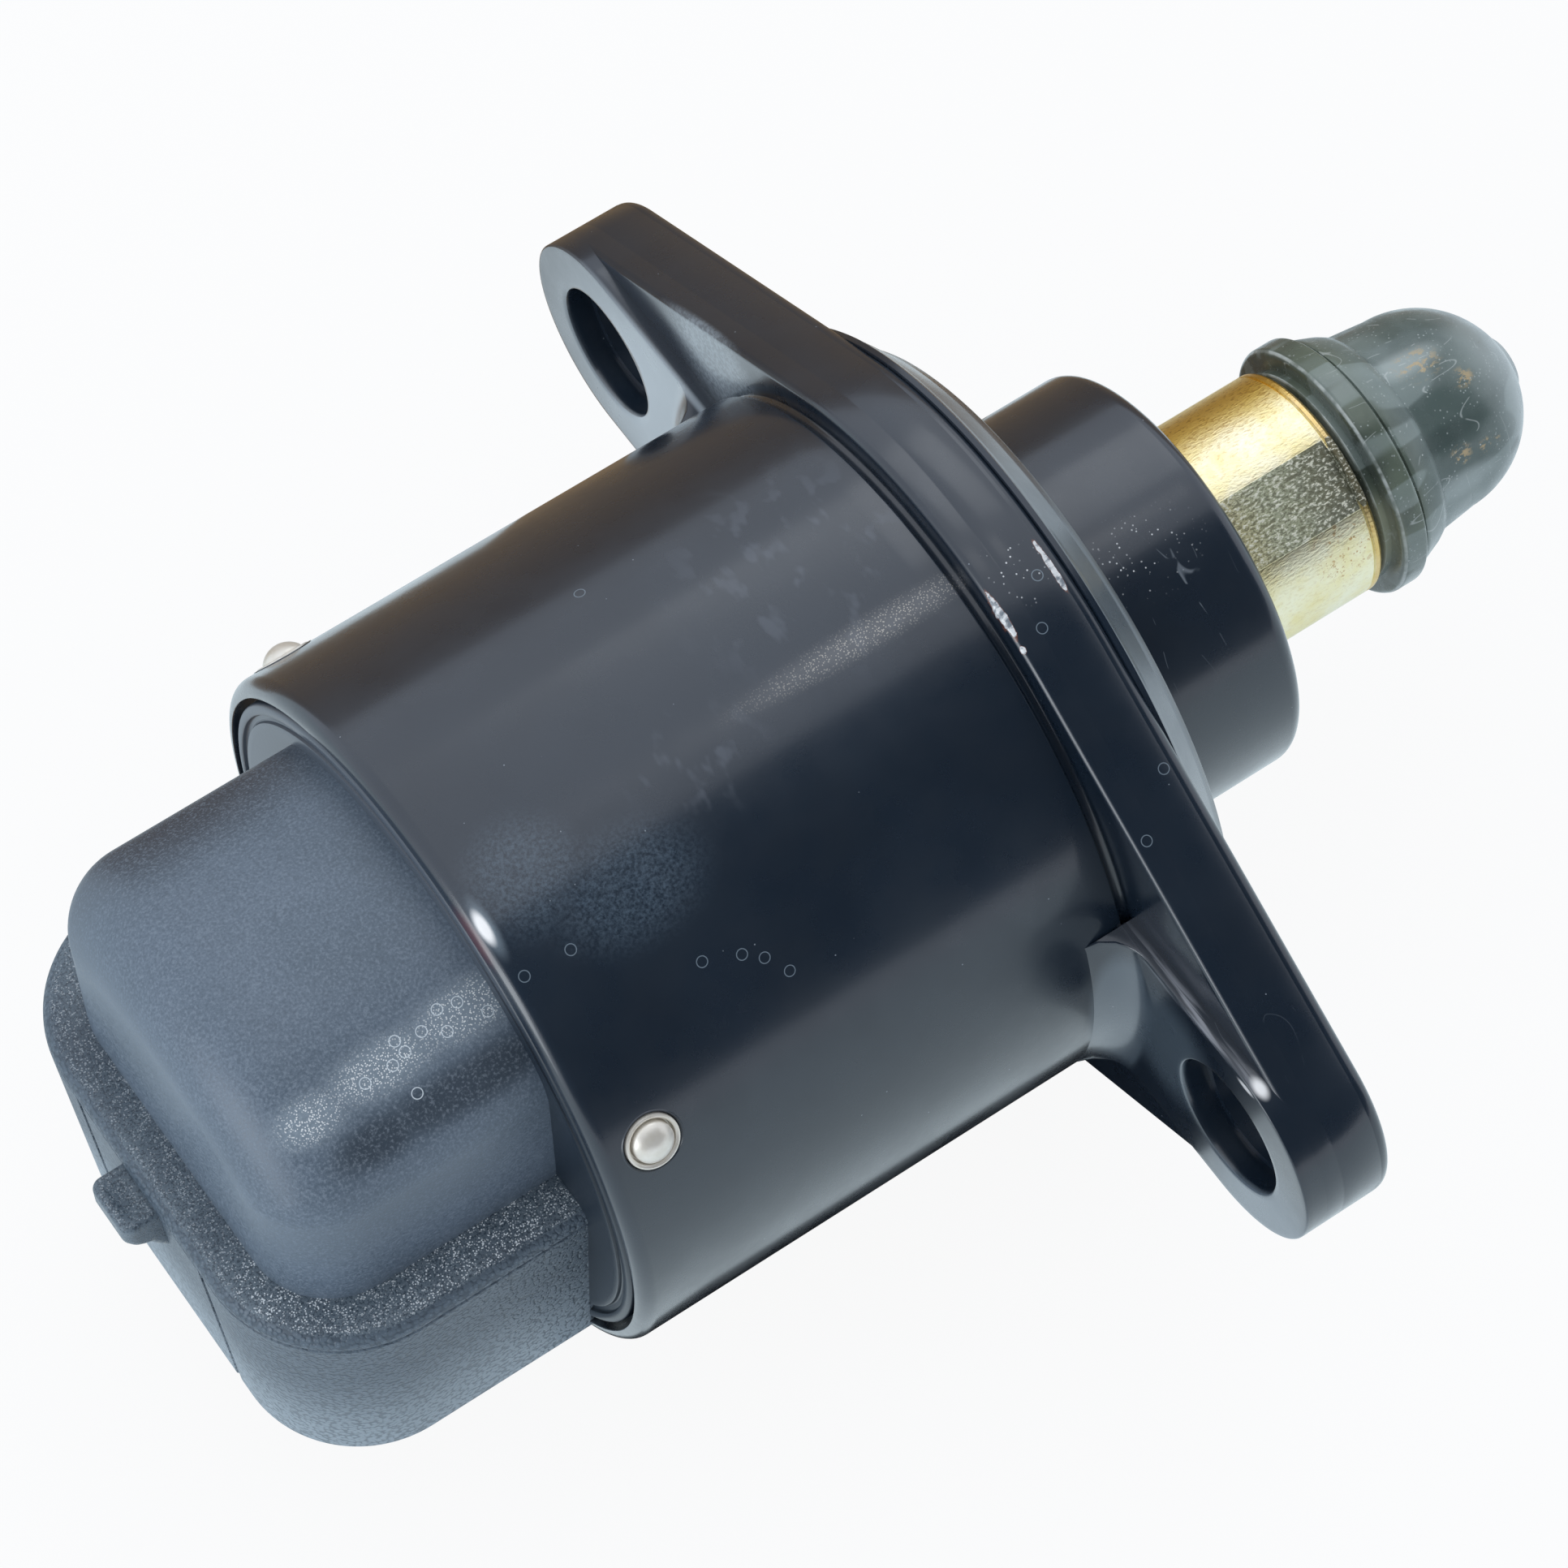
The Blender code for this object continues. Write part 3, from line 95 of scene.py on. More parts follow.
def arc(cu, cv, radius, first, last, steps):
    """Points (u, v) on an arc between two angles in degrees."""
    a = np.radians(np.linspace(first, last, steps + 1))
    return np.stack([cu + radius * np.cos(a), cv + radius * np.sin(a)], axis=1)


def quarter(steps):
    """Angles that climb a quarter circle in even steps, without the first."""
    return np.linspace(0, np.pi / 2, steps + 1)[1:]


def profile(*parts):
    """One row of (x, r) points from single points, arrays of points and straight runs."""
    return np.concatenate([np.atleast_2d(np.asarray(part, float)) for part in parts])


def run(start, end, steps):
    """Points spaced evenly from start to end, without the last one."""
    t = np.arange(steps)[:, None] / steps
    return np.asarray(start, float) + t * (np.asarray(end, float) - np.asarray(start, float))


def ring(x, radius, angle):
    """Points (x, r cos a, r sin a) about the valve's axis, from angles in radians."""
    return np.stack(np.broadcast_arrays(x, radius * np.cos(angle), radius * np.sin(angle)), axis=-1)


def turned(points, angles):
    """Surface of revolution about X: a ring for each (x, r) of the profile, from angles in degrees."""
    return ring(points[:, :1], points[:, 1:], np.radians(angles))


def along_x(rows):
    """Grid from (x, outline) rows, each outline holding y and z."""
    return np.array([np.column_stack([np.full(len(outline), x), outline]) for x, outline in rows])


def up_z(rows):
    """Grid from (z, plan) rows, each plan holding x and y."""
    return np.array([np.column_stack([plan, np.full(len(plan), z)]) for z, plan in rows])


def add_object(name, data):
    """A new object in the scene, at the origin and unturned."""
    made = bpy.data.objects.new(name, data)
    bpy.context.scene.collection.objects.link(made)
    return made


def make_piece(name, grids, finishes, body, slot, replaced, sharp=32.0):
    """Joins grids (points, goes round, finish number) into one welded mesh with closed seams and poles.

    A row or column that falls together closes to a pole, and a point that is not a number leaves a hole.
    """
    points, quads, marks, count = [], [], [], 0
    for grid, goes_round, finish in grids:
        rows, columns = grid.shape[:2]
        index = count + np.arange(rows * columns).reshape(rows, columns)
        if goes_round:
            index = np.concatenate([index, index[:, :1]], axis=1)
        corners = (index[:-1, :-1], index[:-1, 1:], index[1:, 1:], index[1:, :-1])
        quads.append(np.stack(corners, axis=-1).reshape(-1, 4))
        points.append(grid.reshape(-1, 3))
        marks.append(np.full(len(quads[-1]), finish))
        count += rows * columns
    points, quads, marks = np.concatenate(points), np.concatenate(quads), np.concatenate(marks)
    whole = np.isfinite(points[quads]).all(axis=(1, 2))
    quads, marks = quads[whole], marks[whole]
    points = np.nan_to_num(points)
    steps = np.round(points * WELD_STEPS).astype(np.int64)
    _, first, place = np.unique(steps, axis=0, return_index=True, return_inverse=True)
    quads = place.reshape(-1)[quads]
    kept = quads != np.roll(quads, -1, axis=1)
    solid = kept.sum(axis=1) > 2
    quads, marks, kept = quads[solid], marks[solid], kept[solid]
    used, loops = np.unique(quads[kept], return_inverse=True)
    sizes = kept.sum(axis=1)
    mesh = bpy.data.meshes.new(name)
    mesh.vertices.add(len(used))
    mesh.vertices.foreach_set("co", (points[first[used]] * MM).ravel())
    mesh.loops.add(len(loops))
    mesh.loops.foreach_set("vertex_index", loops.reshape(-1))
    mesh.polygons.add(len(sizes))
    mesh.polygons.foreach_set("loop_start", np.concatenate([[0], np.cumsum(sizes)[:-1]]))
    mesh.polygons.foreach_set("material_index", marks)
    mesh.update(calc_edges=True)
    mesh.validate()
    mesh.shade_smooth()
    mesh.set_sharp_from_angle(angle=np.radians(sharp))
    for finish in finishes:
        mesh.materials.append(finish)
    made = add_object(name, mesh)
    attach(made, body)
    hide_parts(*replaced)


def lozenge(inset):
    """Plate outline drawn in by inset: two arcs about the axis, two about the lugs, and their tangents."""
    lean = np.degrees(LEAN)
    middle, end = PLATE_R - inset, LUG_R - inset
    arcs = [
        arc(0, 0, middle, 90 - lean, 90 + lean, 36),
        arc(-LUG_Y, 0, end, 90 + lean, 270 - lean, 60),
        arc(0, 0, middle, 270 - lean, 270 + lean, 36),
        arc(LUG_Y, 0, end, lean - 90, 90 - lean, 60),
    ]
    rows = []
    for here, after in zip(arcs, arcs[1:] + arcs[:1]):
        rows += [here, run(here[-1], after[0], 24)[1:]]
    return np.concatenate(rows)


def swept_plate_edge():
    """Plate edge: each (x, inset) of the profile gives one lozenge outline at that x."""
    start = PLATE_FRONT - EDGE_ROUND
    steps = [(PLATE_REAR, REAR_ROUND)]
    for a in quarter(8):
        steps.append((PLATE_REAR + REAR_ROUND - REAR_ROUND * np.cos(a), REAR_ROUND - REAR_ROUND * np.sin(a)))
    # The die's parting line, then the step where the front edge was linished.
    steps += [(-3.6, 0), (-3.55, 0.01), (-3.5, 0)]
    steps += [(start - 0.06, 0), (start - 0.04, EDGE_STEP), (start, EDGE_STEP)]
    for a in quarter(14):
        inset = EDGE_STEP + (EDGE_ROUND - EDGE_STEP) * (1 - np.cos(a))
        steps.append((start + EDGE_ROUND * np.sin(a), inset))
    return along_x([(x, lozenge(inset)) for x, inset in steps])


def plate_rear_face():
    """Plate's rear face from the can out to the edge's rounding, open where the bolt holes pass."""
    outline = lozenge(REAR_ROUND)
    reach = np.linalg.norm(outline, axis=1, keepdims=True)
    spread = [outline / reach * (PLATE_FOOT_R + t * (reach - PLATE_FOOT_R)) for t in np.linspace(0, 1, 25)]
    grid = along_x([(PLATE_REAR, flat) for flat in spread])
    near_hole = np.hypot(np.abs(grid[..., 1]) - LUG_Y, grid[..., 2]) < HOLE_GAP
    grid[near_hole] = np.nan
    return grid


def first_meeting(dy, radius):
    """How far a lug's centre is, in directions with this share of Y, from a circle about the axis."""
    along = -LUG_Y * dy
    under = along**2 - (LUG_Y**2 - radius**2)
    hit = (under > 0) & (along > 0)
    return np.where(hit, along - np.sqrt(np.maximum(under, 0)), FAR)


def lug(side):
    """One lug in a single grid round its hole: front, bore, recess, pad, fillet to the can and pad wall."""
    angle = np.radians(np.arange(0, 360, 1.5))
    dy, dz = np.cos(angle), np.sin(angle)
    # The plate's side lines lean towards the lug, and the end arc holds where a direction points past them.
    line = (LUG_R - EDGE_ROUND) / np.maximum(dy * np.sin(LEAN) + np.abs(dz) * np.cos(LEAN), TINY)
    past = np.arctan2(np.abs(dz), dy) < np.pi / 2 - LEAN
    front = np.where(past, LUG_R - EDGE_ROUND, line)
    front = np.minimum(front, first_meeting(dy, LUG_FOOT_R))

    def pad_reach(inset):
        straight = (PAD_HALF - inset) / np.maximum(np.abs(dz), TINY)
        reach = np.where(dy >= 0, PAD_HALF - inset, straight)
        return np.minimum(reach, first_meeting(dy, PAD_FOOT_R))

    def pad_height(reach):
        radius = np.hypot(LUG_Y + reach * dy, reach * dz)
        drop = FILLET_R - np.clip(radius, CAN_R, FILLET_R)
        return FILLET_X + np.sqrt(np.maximum(FILLET**2 - drop**2, 0))

    rim = HOLE_R + HOLE_EDGE
    rows = [(t * front + (1 - t) * rim, PLATE_FRONT) for t in np.linspace(1, 0, 8)]
    rows += [(HOLE_R + 0.05, PLATE_FRONT - 0.04), (HOLE_R, PLATE_FRONT - HOLE_EDGE)]
    rows += [(HOLE_R, x) for x in np.linspace(-1.4, RECESS_X, 8)]
    rows += [(RECESS_R, RECESS_X)]
    rows += [(RECESS_R, x) for x in np.linspace(-4.4, PAD_BACK + RECESS_EDGE, 4)]
    rows += [(RECESS_R + 0.05, PAD_BACK + 0.05), (RECESS_R + RECESS_EDGE, PAD_BACK)]
    edge = pad_reach(PAD_ROUND)
    bend = np.minimum(edge, first_meeting(dy, FILLET_R))
    for t in np.linspace(0, 1, 10)[1:]:
        rows.append((RECESS_R + RECESS_EDGE + t * (bend - RECESS_R - RECESS_EDGE), PAD_BACK))
    for t in np.linspace(0, 1, 15)[1:]:
        reach = bend + t * (edge - bend)
        rows.append((reach, pad_height(reach)))
    for a in np.radians((22, 45, 67, 90)):
        reach = pad_reach(PAD_ROUND * (1 - np.sin(a)))
        rows.append((reach, pad_height(reach) + PAD_ROUND * (1 - np.cos(a))))
    wall = pad_reach(0)
    top = pad_height(wall) + PAD_ROUND
    rows += [(wall, top + t * (PAD_FOOT_X - top)) for t in (0.3, 0.6, 1.0)]
    grid = []
    for reach, x in rows:
        reach, x = np.broadcast_to(reach, dy.shape), np.broadcast_to(x, dy.shape)
        grid.append(np.column_stack([x, side * (LUG_Y + reach * dy), side * reach * dz]))
    return np.array(grid)


def pin_window(middle):
    """Square patch of the can's wall round one pin hole, drawn in to the hole's circle and down its wall."""
    steps = 12
    s, full = np.linspace(-1, 1, steps + 1)[:-1], np.ones(steps)
    # The square's corners in this order go round once, from -X to +angle.
    edge_x = WINDOW_HALF * np.concatenate([-full, s, full, -s])
    edge_s = np.radians(WINDOW_TURN * np.concatenate([s, full, -s, -full])) * CAN_R
    direction = np.arctan2(edge_s, edge_x)
    circle = PIN_HOLE + BURR
    rows = []
    for t in np.linspace(1, 0, 8):
        u = t * edge_x + (1 - t) * circle * np.cos(direction)
        v = t * edge_s + (1 - t) * circle * np.sin(direction)
        rows.append((u, v, 0.0))
    # A raised burr, the broken edge and the hole's wall, as (radius, depth).
    rim = (1.41, -0.035), (1.38, -0.035), (1.35, 0.0), (1.31, 0.04)
    for radius, depth in (*rim, (PIN_HOLE, 0.1), (PIN_HOLE, 0.7), (PIN_HOLE, 1.25)):
        rows.append((radius * np.cos(direction), radius * np.sin(direction), depth))
    return np.array([ring(PIN_X + u, CAN_R - depth, np.radians(middle) + v / CAN_R) for u, v, depth in rows])


def housing_turned():
    """Can, seat and spigot turned in one with their stepped bore, open at the pins' windows."""
    line = profile(
        # The rim, rounded outside and broken inside
        ((-29.5, CAN_BORE), (-29.5, RIM_BORE)),
        run((-29.6, RIM_BORE), (-30.4, RIM_BORE), 4),
        ((-30.47, RIM_BORE + 0.03), (CAN_REAR, RIM_BORE + 0.08)),
        arc(-29.8, CAN_R - RIM_ROUND, RIM_ROUND, 180, 90, 12),
        # The can's wall, with a groove before the plate
        run((-29.75, CAN_R), (-26.25, CAN_R), 12),
        run((-26.25, CAN_R), (-5.35, CAN_R), 18),
        arc(-5.4, CAN_R - 0.1, 0.1, 90, 0, 3),
        arc(-5.0, CAN_R - 0.1, 0.3, 180, 360, 8),
        run((-4.7, CAN_R), (-1.1, CAN_R), 2),
        # The seat: a raised line, a cone and the flat round the spigot
        ((-1.1, 17.0), (-1.1, 17.33), (-1.06, 17.42), (-0.92, 17.49), (-0.85, 17.5), (-0.76, 17.4)),
        run((-0.7, 17.31), (0.6, 15.66), 10),
        arc(0.5, 15.4, 0.3, 38, 0, 4),
        run((0.8, 15.3), (0.8, 10.1), 8),
        # The spigot with its rounded end
        arc(1.0, 10.1, 0.2, 180, 270, 4),
        run((1.1, 9.9), (8.3, 9.9), 16),
        arc(8.3, 9.1, 0.8, 90, 0, 12),
        run((9.1, 9.0), (9.1, 8.3), 3),
        # The stepped bore back to the rim
        ((9.1, 8.25), (8.87, 8.0)),
        run((8.7, 8.0), (7.2, 8.0), 3),
        ((7.2, 7.2), (2.8, 7.2), (2.8, 6.2), (-4.5, 6.2), (-4.5, 6.6), (-8.1, 6.6), (-8.1, CAN_BORE)),
        run((-9.0, CAN_BORE), (-29.5, CAN_BORE), 6),
        (-29.5, CAN_BORE),
    )
    grid = turned(line, np.arange(360))
    in_window = (line[:, 1] > CAN_R - TINY) & (np.abs(line[:, 0] - PIN_X) < WINDOW_HALF - TINY)
    for middle in PIN_ANGLES:
        for column in range(middle - WINDOW_TURN + 1, middle + WINDOW_TURN):
            grid[in_window, column] = np.nan
    return grid


def build_housing(coat):
    grids = [(housing_turned(), True, 0), (swept_plate_edge(), True, 0), (plate_rear_face(), True, 0)]
    grids += [(lug(side), True, 0) for side in (1, -1)]
    grids += [(pin_window(middle), True, 0) for middle in PIN_ANGLES]
    make_piece("housing_coated", grids, [coat], "housing", "cast_housing", ["housing"])


def cap_disc():
    """Disc face and rounded edge with the flat at its foot, then the step down to the skirt."""
    angle = np.radians(np.arange(0, 360, 1.0))
    down = np.maximum(-np.sin(angle), TINY)
    edge_x = CAN_REAR + 0.5
    # Two fine steps run round the face before its rounded edge.
    fine = (0.02, 14.55), (0.16, 14.6), (0.2, 14.66), (0.2, 14.86), (0.17, 14.9), (0.03, 14.94), (0.0, 15.0)
    steps = [(CAN_REAR, radius) for radius in (0.0, 4.0, 8.0, 12.0, 13.6, 14.2, 14.5)]
    steps += [(CAN_REAR + x, radius) for x, radius in fine]
    steps += [*arc(CAN_REAR + 0.25, DISC_R - 0.25, 0.25, 180, 90, 8), (edge_x, DISC_R)]
    rows = [ring(x, np.minimum(radius, -DISC_CUT_Z / down), angle) for x, radius in steps]
    cut = np.minimum(DISC_R, -DISC_CUT_Z / down)
    rows += [ring(edge_x, cut + t * (DISC_R - cut), angle) for t in (0.5, 1.0)]
    skirt = (-29.8, DISC_R), (-29.8, 14.9), (-26.5, 14.9), (-26.5, 13.5)
    for x, radius in (*skirt, (-25.25, 13.5), (-25.25, 12.5), (-28.8, 12.5), (-28.8, 0)):
        rows.append(ring(x, radius, angle))
    return np.array(rows)


def dome_section(inset):
    """Half-round section of the cap's back: side, corner arc, arc about the axis, corner arc, side."""
    corner = max(DOME_CORNER - inset, 0.35)
    half, radius = DOME_HALF - inset, DOME_R - inset
    cy = half - corner
    cz = np.sqrt(max((radius - corner) ** 2 - cy**2, 0.01))
    lean = np.degrees(np.arctan2(cz, cy))
    right = np.concatenate([run((half, ROOF_Z), (half, cz), 14), arc(cy, cz, corner, 0, lean, 12)])
    top = arc(0, 0, radius, lean, 180 - lean, 48)[1:-1]
    left = right[::-1] * (-1, 1)
    return np.concatenate([right, top, left])


def cap_dome():
    """The rounded back: sections drawn in along a quarter circle at the rear, then closed on its flat end."""
    closing = dome_section(DOME_ROUND)
    middle = np.array([0.0, ROOF_Z])
    rows = [(DOME_REAR, middle + t * (closing - middle)) for t in np.linspace(0, 1, 9)[:-1]]
    for a in np.linspace(0, np.pi / 2, 23):
        rows.append((DOME_REAR + DOME_ROUND * (1 - np.cos(a)), dome_section(DOME_ROUND * (1 - np.sin(a)))))
    rows += [(x, dome_section(0)) for x in np.linspace(DOME_REAR + DOME_ROUND, -30.2, 12)[1:]]
    return along_x(rows)


def hood_plan(inset, front):
    """Plan (x, y) of the hood or its socket, from the front left corner round the rear to the front right."""
    half, rear, corner = HOOD_HALF - inset, HOOD_REAR + inset, HOOD_CORNER - inset
    cx, cy = rear + corner, half - corner
    # Close points where the rear wall's slots are, and wider ones between them.
    fine = np.concatenate([np.linspace(5.15, 4.65, 11), np.linspace(4.4, 0, 8)])
    fine = np.column_stack([np.full(len(fine), rear), np.minimum(fine, cy)])
    side = [run((front, half), (cx, half), 16), arc(cx, cy, corner, 90, 180, 32)[:-1]]
    left = np.concatenate([*side, run((rear, cy), (rear, 5.2), 2), fine])
    return np.concatenate([left, left[-2::-1] * (1, -1)])


def cap_hood():
    """Hood wall with its rounded top, bead line and draft, turned in at the mouth and up into the socket.

    It comes in two grids: the ledge with the top of its rounding, and the wall with the socket.
    """
    middle, socket_middle = np.array([-36.0, 0.0]), np.array([-37.0, 0.0])
    top = hood_plan(LEDGE_ROUND, HOOD_FRONT)
    rows = [(HOOD_TOP, middle + t * (top - middle)) for t in np.linspace(0.3, 1, 12)]
    for a in quarter(8):
        drop, inset = LEDGE_ROUND * (1 - np.cos(a)), LEDGE_ROUND * (1 - np.sin(a))
        rows.append((HOOD_TOP - drop, hood_plan(inset, HOOD_FRONT)))
    bead = (0.86, 0), (0.8, 0.04), (0.74, 0.1), (0.68, 0.1), (0.62, 0.03), (0.56, 0)
    rows += [(z, hood_plan((DRAFT_TOP - z) * HOOD_DRAFT + sunk, HOOD_FRONT)) for z, sunk in bead]
    for z in np.linspace(0.5, HOOD_BOTTOM + 0.15, 26):
        plan = hood_plan((DRAFT_TOP - z) * HOOD_DRAFT, HOOD_FRONT)
        in_slot = (np.abs(np.abs(plan[:, 1]) - SLOT_Y) < SLOT_HALF) & (plan[:, 0] < HOOD_REAR + 2)
        plan[in_slot, 0] += SLOT_DEPTH
        rows.append((z, plan))
    lean = (DRAFT_TOP - HOOD_BOTTOM) * HOOD_DRAFT
    socket = hood_plan(HOOD_WALL, SOCKET_FRONT)
    rows.append((HOOD_BOTTOM, hood_plan(lean + MOUTH_ROUND, HOOD_FRONT)))
    rows.append((HOOD_BOTTOM, hood_plan(HOOD_WALL - MOUTH_ROUND, SOCKET_FRONT)))
    rows += [(z, socket) for z in (HOOD_BOTTOM + MOUTH_ROUND, -6.0, ROOF_Z)]
    rows += [(ROOF_Z, socket_middle + t * (socket - socket_middle)) for t in (0.7, 0.4, 0.0)]
    grid, grain_end = up_z(rows), 14  # the row on the rounding where the ledge's coarse grain ends
    return grid[: grain_end + 1], grid[grain_end:]


def cap_latch():
    """Latch wedge: rounded oblongs at falling heights, whose tip draws back to the wall below.

    A raised line runs round its top face.
    """

    def oblong(tip, inset):
        half, near = LATCH_HALF - inset, tip + inset
        left = arc(near + LATCH_CORNER, half - LATCH_CORNER, LATCH_CORNER, 90, 180, 8)
        left[:, 0] = np.minimum(left[:, 0], LATCH_ROOT)
        return np.concatenate([[(LATCH_ROOT, half)], left, left[::-1] * (1, -1), [(LATCH_ROOT, -half)]])

    middle, face = np.array([LATCH_ROOT, 0.0]), oblong(LATCH_TIP, 0.42)
    rows = [(LATCH_TOP - 0.03, middle + t * (face - middle)) for t in (0.0, 0.5, 1.0)]
    rows += [(LATCH_TOP, oblong(LATCH_TIP, 0.36)), (LATCH_TOP, oblong(LATCH_TIP, 0.28))]
    for a in np.radians((0, 18, 36, 54, 72, 90)):
        height = LATCH_TOP - 0.02 - LATCH_ROUND * (1 - np.cos(a))
        rows.append((height, oblong(LATCH_TIP, LATCH_ROUND * (1 - np.sin(a)))))
    rows += [(z, oblong(LATCH_TIP, 0.0)) for z in (0.0, -0.3, -0.6)]
    for a in np.radians((20, 45, 70, 90)):
        rows.append((-0.6 - 0.9 * np.sin(a), oblong(LATCH_TIP + 0.75 * (1 - np.cos(a)), 0.0)))
    rows += [(z, oblong(-46.0 + (-1.5 - z) * 0.6, 0.0)) for z in (-1.9, -2.3, -2.7, -3.1, -3.5)]
    return up_z(rows)


def build_cap(fine, sparkling, leathered, rim):
    ledge, wall = cap_hood()
    grids = [(cap_disc(), True, 3), (cap_dome(), False, 0), (ledge, True, 1), (wall, True, 2)]
    grids.append((cap_latch(), False, 1))
    finishes = [fine, sparkling, leathered, rim]
    make_piece("end_cap_moulded", grids, finishes, "housing", "moulded_cap", ["end_cap"])


def build_pin(number, angle, steel):
    """Dowel pin: a crowned button inside a narrow collar, turned about its own outward line."""
    line = profile(
        ((13.6, 0), (13.6, 1.05), (16.2, 1.05), (16.24, 1.25), (16.46, 1.27), (16.55, 1.24), (16.57, 1.18)),
        # The groove between the collar and the crown
        ((16.55, 1.11), (16.5, 1.06), (16.2, 1.03), (16.2, 0.97), (16.55, 0.94)),
        arc(15.95, 0, 1.15, 54, 0, 12)[:-1],
        (17.1, 0),
    )
    upright = turned(line, np.arange(0, 360, 7.5))
    a = np.radians(angle)
    out, side = np.array([0, np.cos(a), np.sin(a)]), np.array([0, -np.sin(a), np.cos(a)])
    along = np.array([1.0, 0, 0])
    grid = upright[..., :1] * out + upright[..., 1:2] * side + upright[..., 2:] * along + (PIN_X, 0, 0)
    name, replaced = f"pin_{number}_ground", [f"retaining_pin_{number}"]
    make_piece(name, [(grid, True, 0)], [steel], "housing", "bright_steel", replaced)


def build_sleeve(plated):
    """Thin tube with two flats and a rolled lip: the radius is the smaller of the round and the flat's."""
    angles = np.arange(0, 360, 1.5)
    off = np.radians((angles - FLAT_ANGLE + 90) % 180 - 90)
    flat = np.minimum(SLEEVE_R, FLAT_R / np.cos(off))
    round_r = np.full(len(angles), SLEEVE_R)
    bore = round_r - SLEEVE_WALL
    rows = [(SLEEVE_REAR, bore), (SLEEVE_REAR, flat - 0.08), (SLEEVE_REAR + 0.08, flat)]
    rows += [(x, flat) for x in np.linspace(3.4, 16.02, 24)]
    rows.append((16.05, np.minimum(flat + 0.04, round_r)))
    # The rolled lip: how far it lies under the round at each x.
    lip = (16.08, 0.0), (16.1, 0.06), (16.13, 0.12), (16.19, 0.12), (16.22, 0.04), (16.27, 0.0), (16.45, 0.0)
    rows += [(x, round_r - under) for x, under in (*lip, (16.54, 0.04), (16.6, 0.14))]
    rows += [(SLEEVE_FRONT, bore), (10.0, bore), (SLEEVE_REAR, bore)]
    grid = np.array([ring(x, radius, np.radians(angles)) for x, radius in rows])
    name, slot = "plunger_sleeve_passivated", "yellow_passivated"
    make_piece(name, [(grid, True, 0)], [plated], "plunger", slot, ["plunger_sleeve"], 20)


def build_pintle(moulded):
    """Stem, neck, collar, ring and domed head with the worn flat at its tip, turned in one."""
    tip = np.degrees(np.arcsin(TIP_FLAT_R / HEAD_R))
    line = profile(
        ((18.3, 0), (18.3, 2.3), (11.0, 2.3), (11.0, 4.6), (16.9, 4.6)),
        # Neck and collar
        ((16.9, 5.25), (16.95, 5.35), (17.28, 5.35), (17.3, 5.45)),
        run((17.3, 5.6), (17.3, 5.9), 2),
        arc(17.6, 6.0, 0.3, 180, 90, 8),
        run((17.65, 6.3), (18.4, 6.3), 5),
        arc(18.45, 6.1, 0.2, 90, 0, 6),
        # The ring between the collar and the head
        ((18.65, 5.85), (18.68, 5.78), (18.78, 5.8), (18.85, 5.93)),
        run((18.9, 5.94), (20.3, 5.4), 6),
        ((20.4, 5.3), (20.44, 5.2), (20.46, 5.14), (20.6, 5.1)),
        # The head and its worn tip
        run((20.8, 5.08), (22.7, 4.86), 8),
        arc(22.75, 0, HEAD_R, 90, tip + 3, 28),
        ((27.59, 1.35), (27.615, 1.2), (27.62, 0.6), (27.62, 0)),
    )
    grid = turned(line, np.arange(0, 360, 2.0))
    name, slot = "pintle_moulded", "pintle_moulding"
    make_piece(name, [(grid, True, 0)], [moulded], "plunger", slot, ["pintle"], 40)


def colour(text):
    """Linear RGBA of an sRGB hex such as 1c2633."""
    part = np.array([int(text[k : k + 2], 16) for k in (0, 2, 4)]) / 255
    linear = np.where(part <= 0.04045, part / 12.92, ((part + 0.055) / 1.055) ** 2.4)
    return (*linear.tolist(), 1.0)


# Each node kind in use: its type, fields, the sockets that its inputs fill in order, and the output read
NODE_KINDS = {
    "place": ("TexCoord", {}, (), "Object"),
    "stretched": ("Mapping", {}, ("Vector", "Scale"), "Vector"),
    "noise": ("TexNoise", {}, ("Vector", "Scale", "Detail", "Roughness"), "Fac"),
    "cells": ("TexVoronoi", {}, ("Vector", "Scale", "Randomness"), "Distance"),
    "ramp": ("MapRange", {"interpolation_type": "SMOOTHSTEP"}, (0, 1, 2, 3, 4), 0),
    "blend": ("Mix", {"data_type": "RGBA"}, (0, 6, 7), 2),
    "relief": ("Bump", {}, ("Height", "Distance", "Strength"), "Normal"),
    "glow": ("Emission", {}, ("Color", "Strength"), 0),
    "blended shaders": ("MixShader", {}, (0, 1, 2), 0),
}
for axis in "XYZ":
    NODE_KINDS[axis.lower()] = ("SeparateXYZ", {}, (0,), axis)
for ray in ("Camera", "Glossy", "Transmission"):
    NODE_KINDS[f"{ray} ray"] = ("LightPath", {}, (), f"Is {ray} Ray")
for step in ("ADD", "SUBTRACT", "MULTIPLY", "MAXIMUM", "MINIMUM", "ABSOLUTE"):
    NODE_KINDS[step] = ("Math", {"operation": step}, (0, 1), 0)
for step, output in {"SUBTRACT": 0, "DIVIDE": 0, "LENGTH": 1, "DISTANCE": 1, "DOT_PRODUCT": 1}.items():
    NODE_KINDS[f"vector {step}"] = ("VectorMath", {"operation": step}, (0, 1), output)


def add(tree, kind, *inputs):
    """Adds a node of a kind in the table. Each input is another node's output, to be linked, or a value."""
    type_name, fields, sockets, output = NODE_KINDS[kind]
    made = tree.nodes.new("ShaderNode" + type_name)
    for field, value in fields.items():
        setattr(made, field, value)
    for socket, value in zip(sockets, inputs):
        if isinstance(value, bpy.types.NodeSocket):
            tree.links.new(value, made.inputs[socket])
        else:
            made.inputs[socket].default_value = value
    return made.outputs[output]


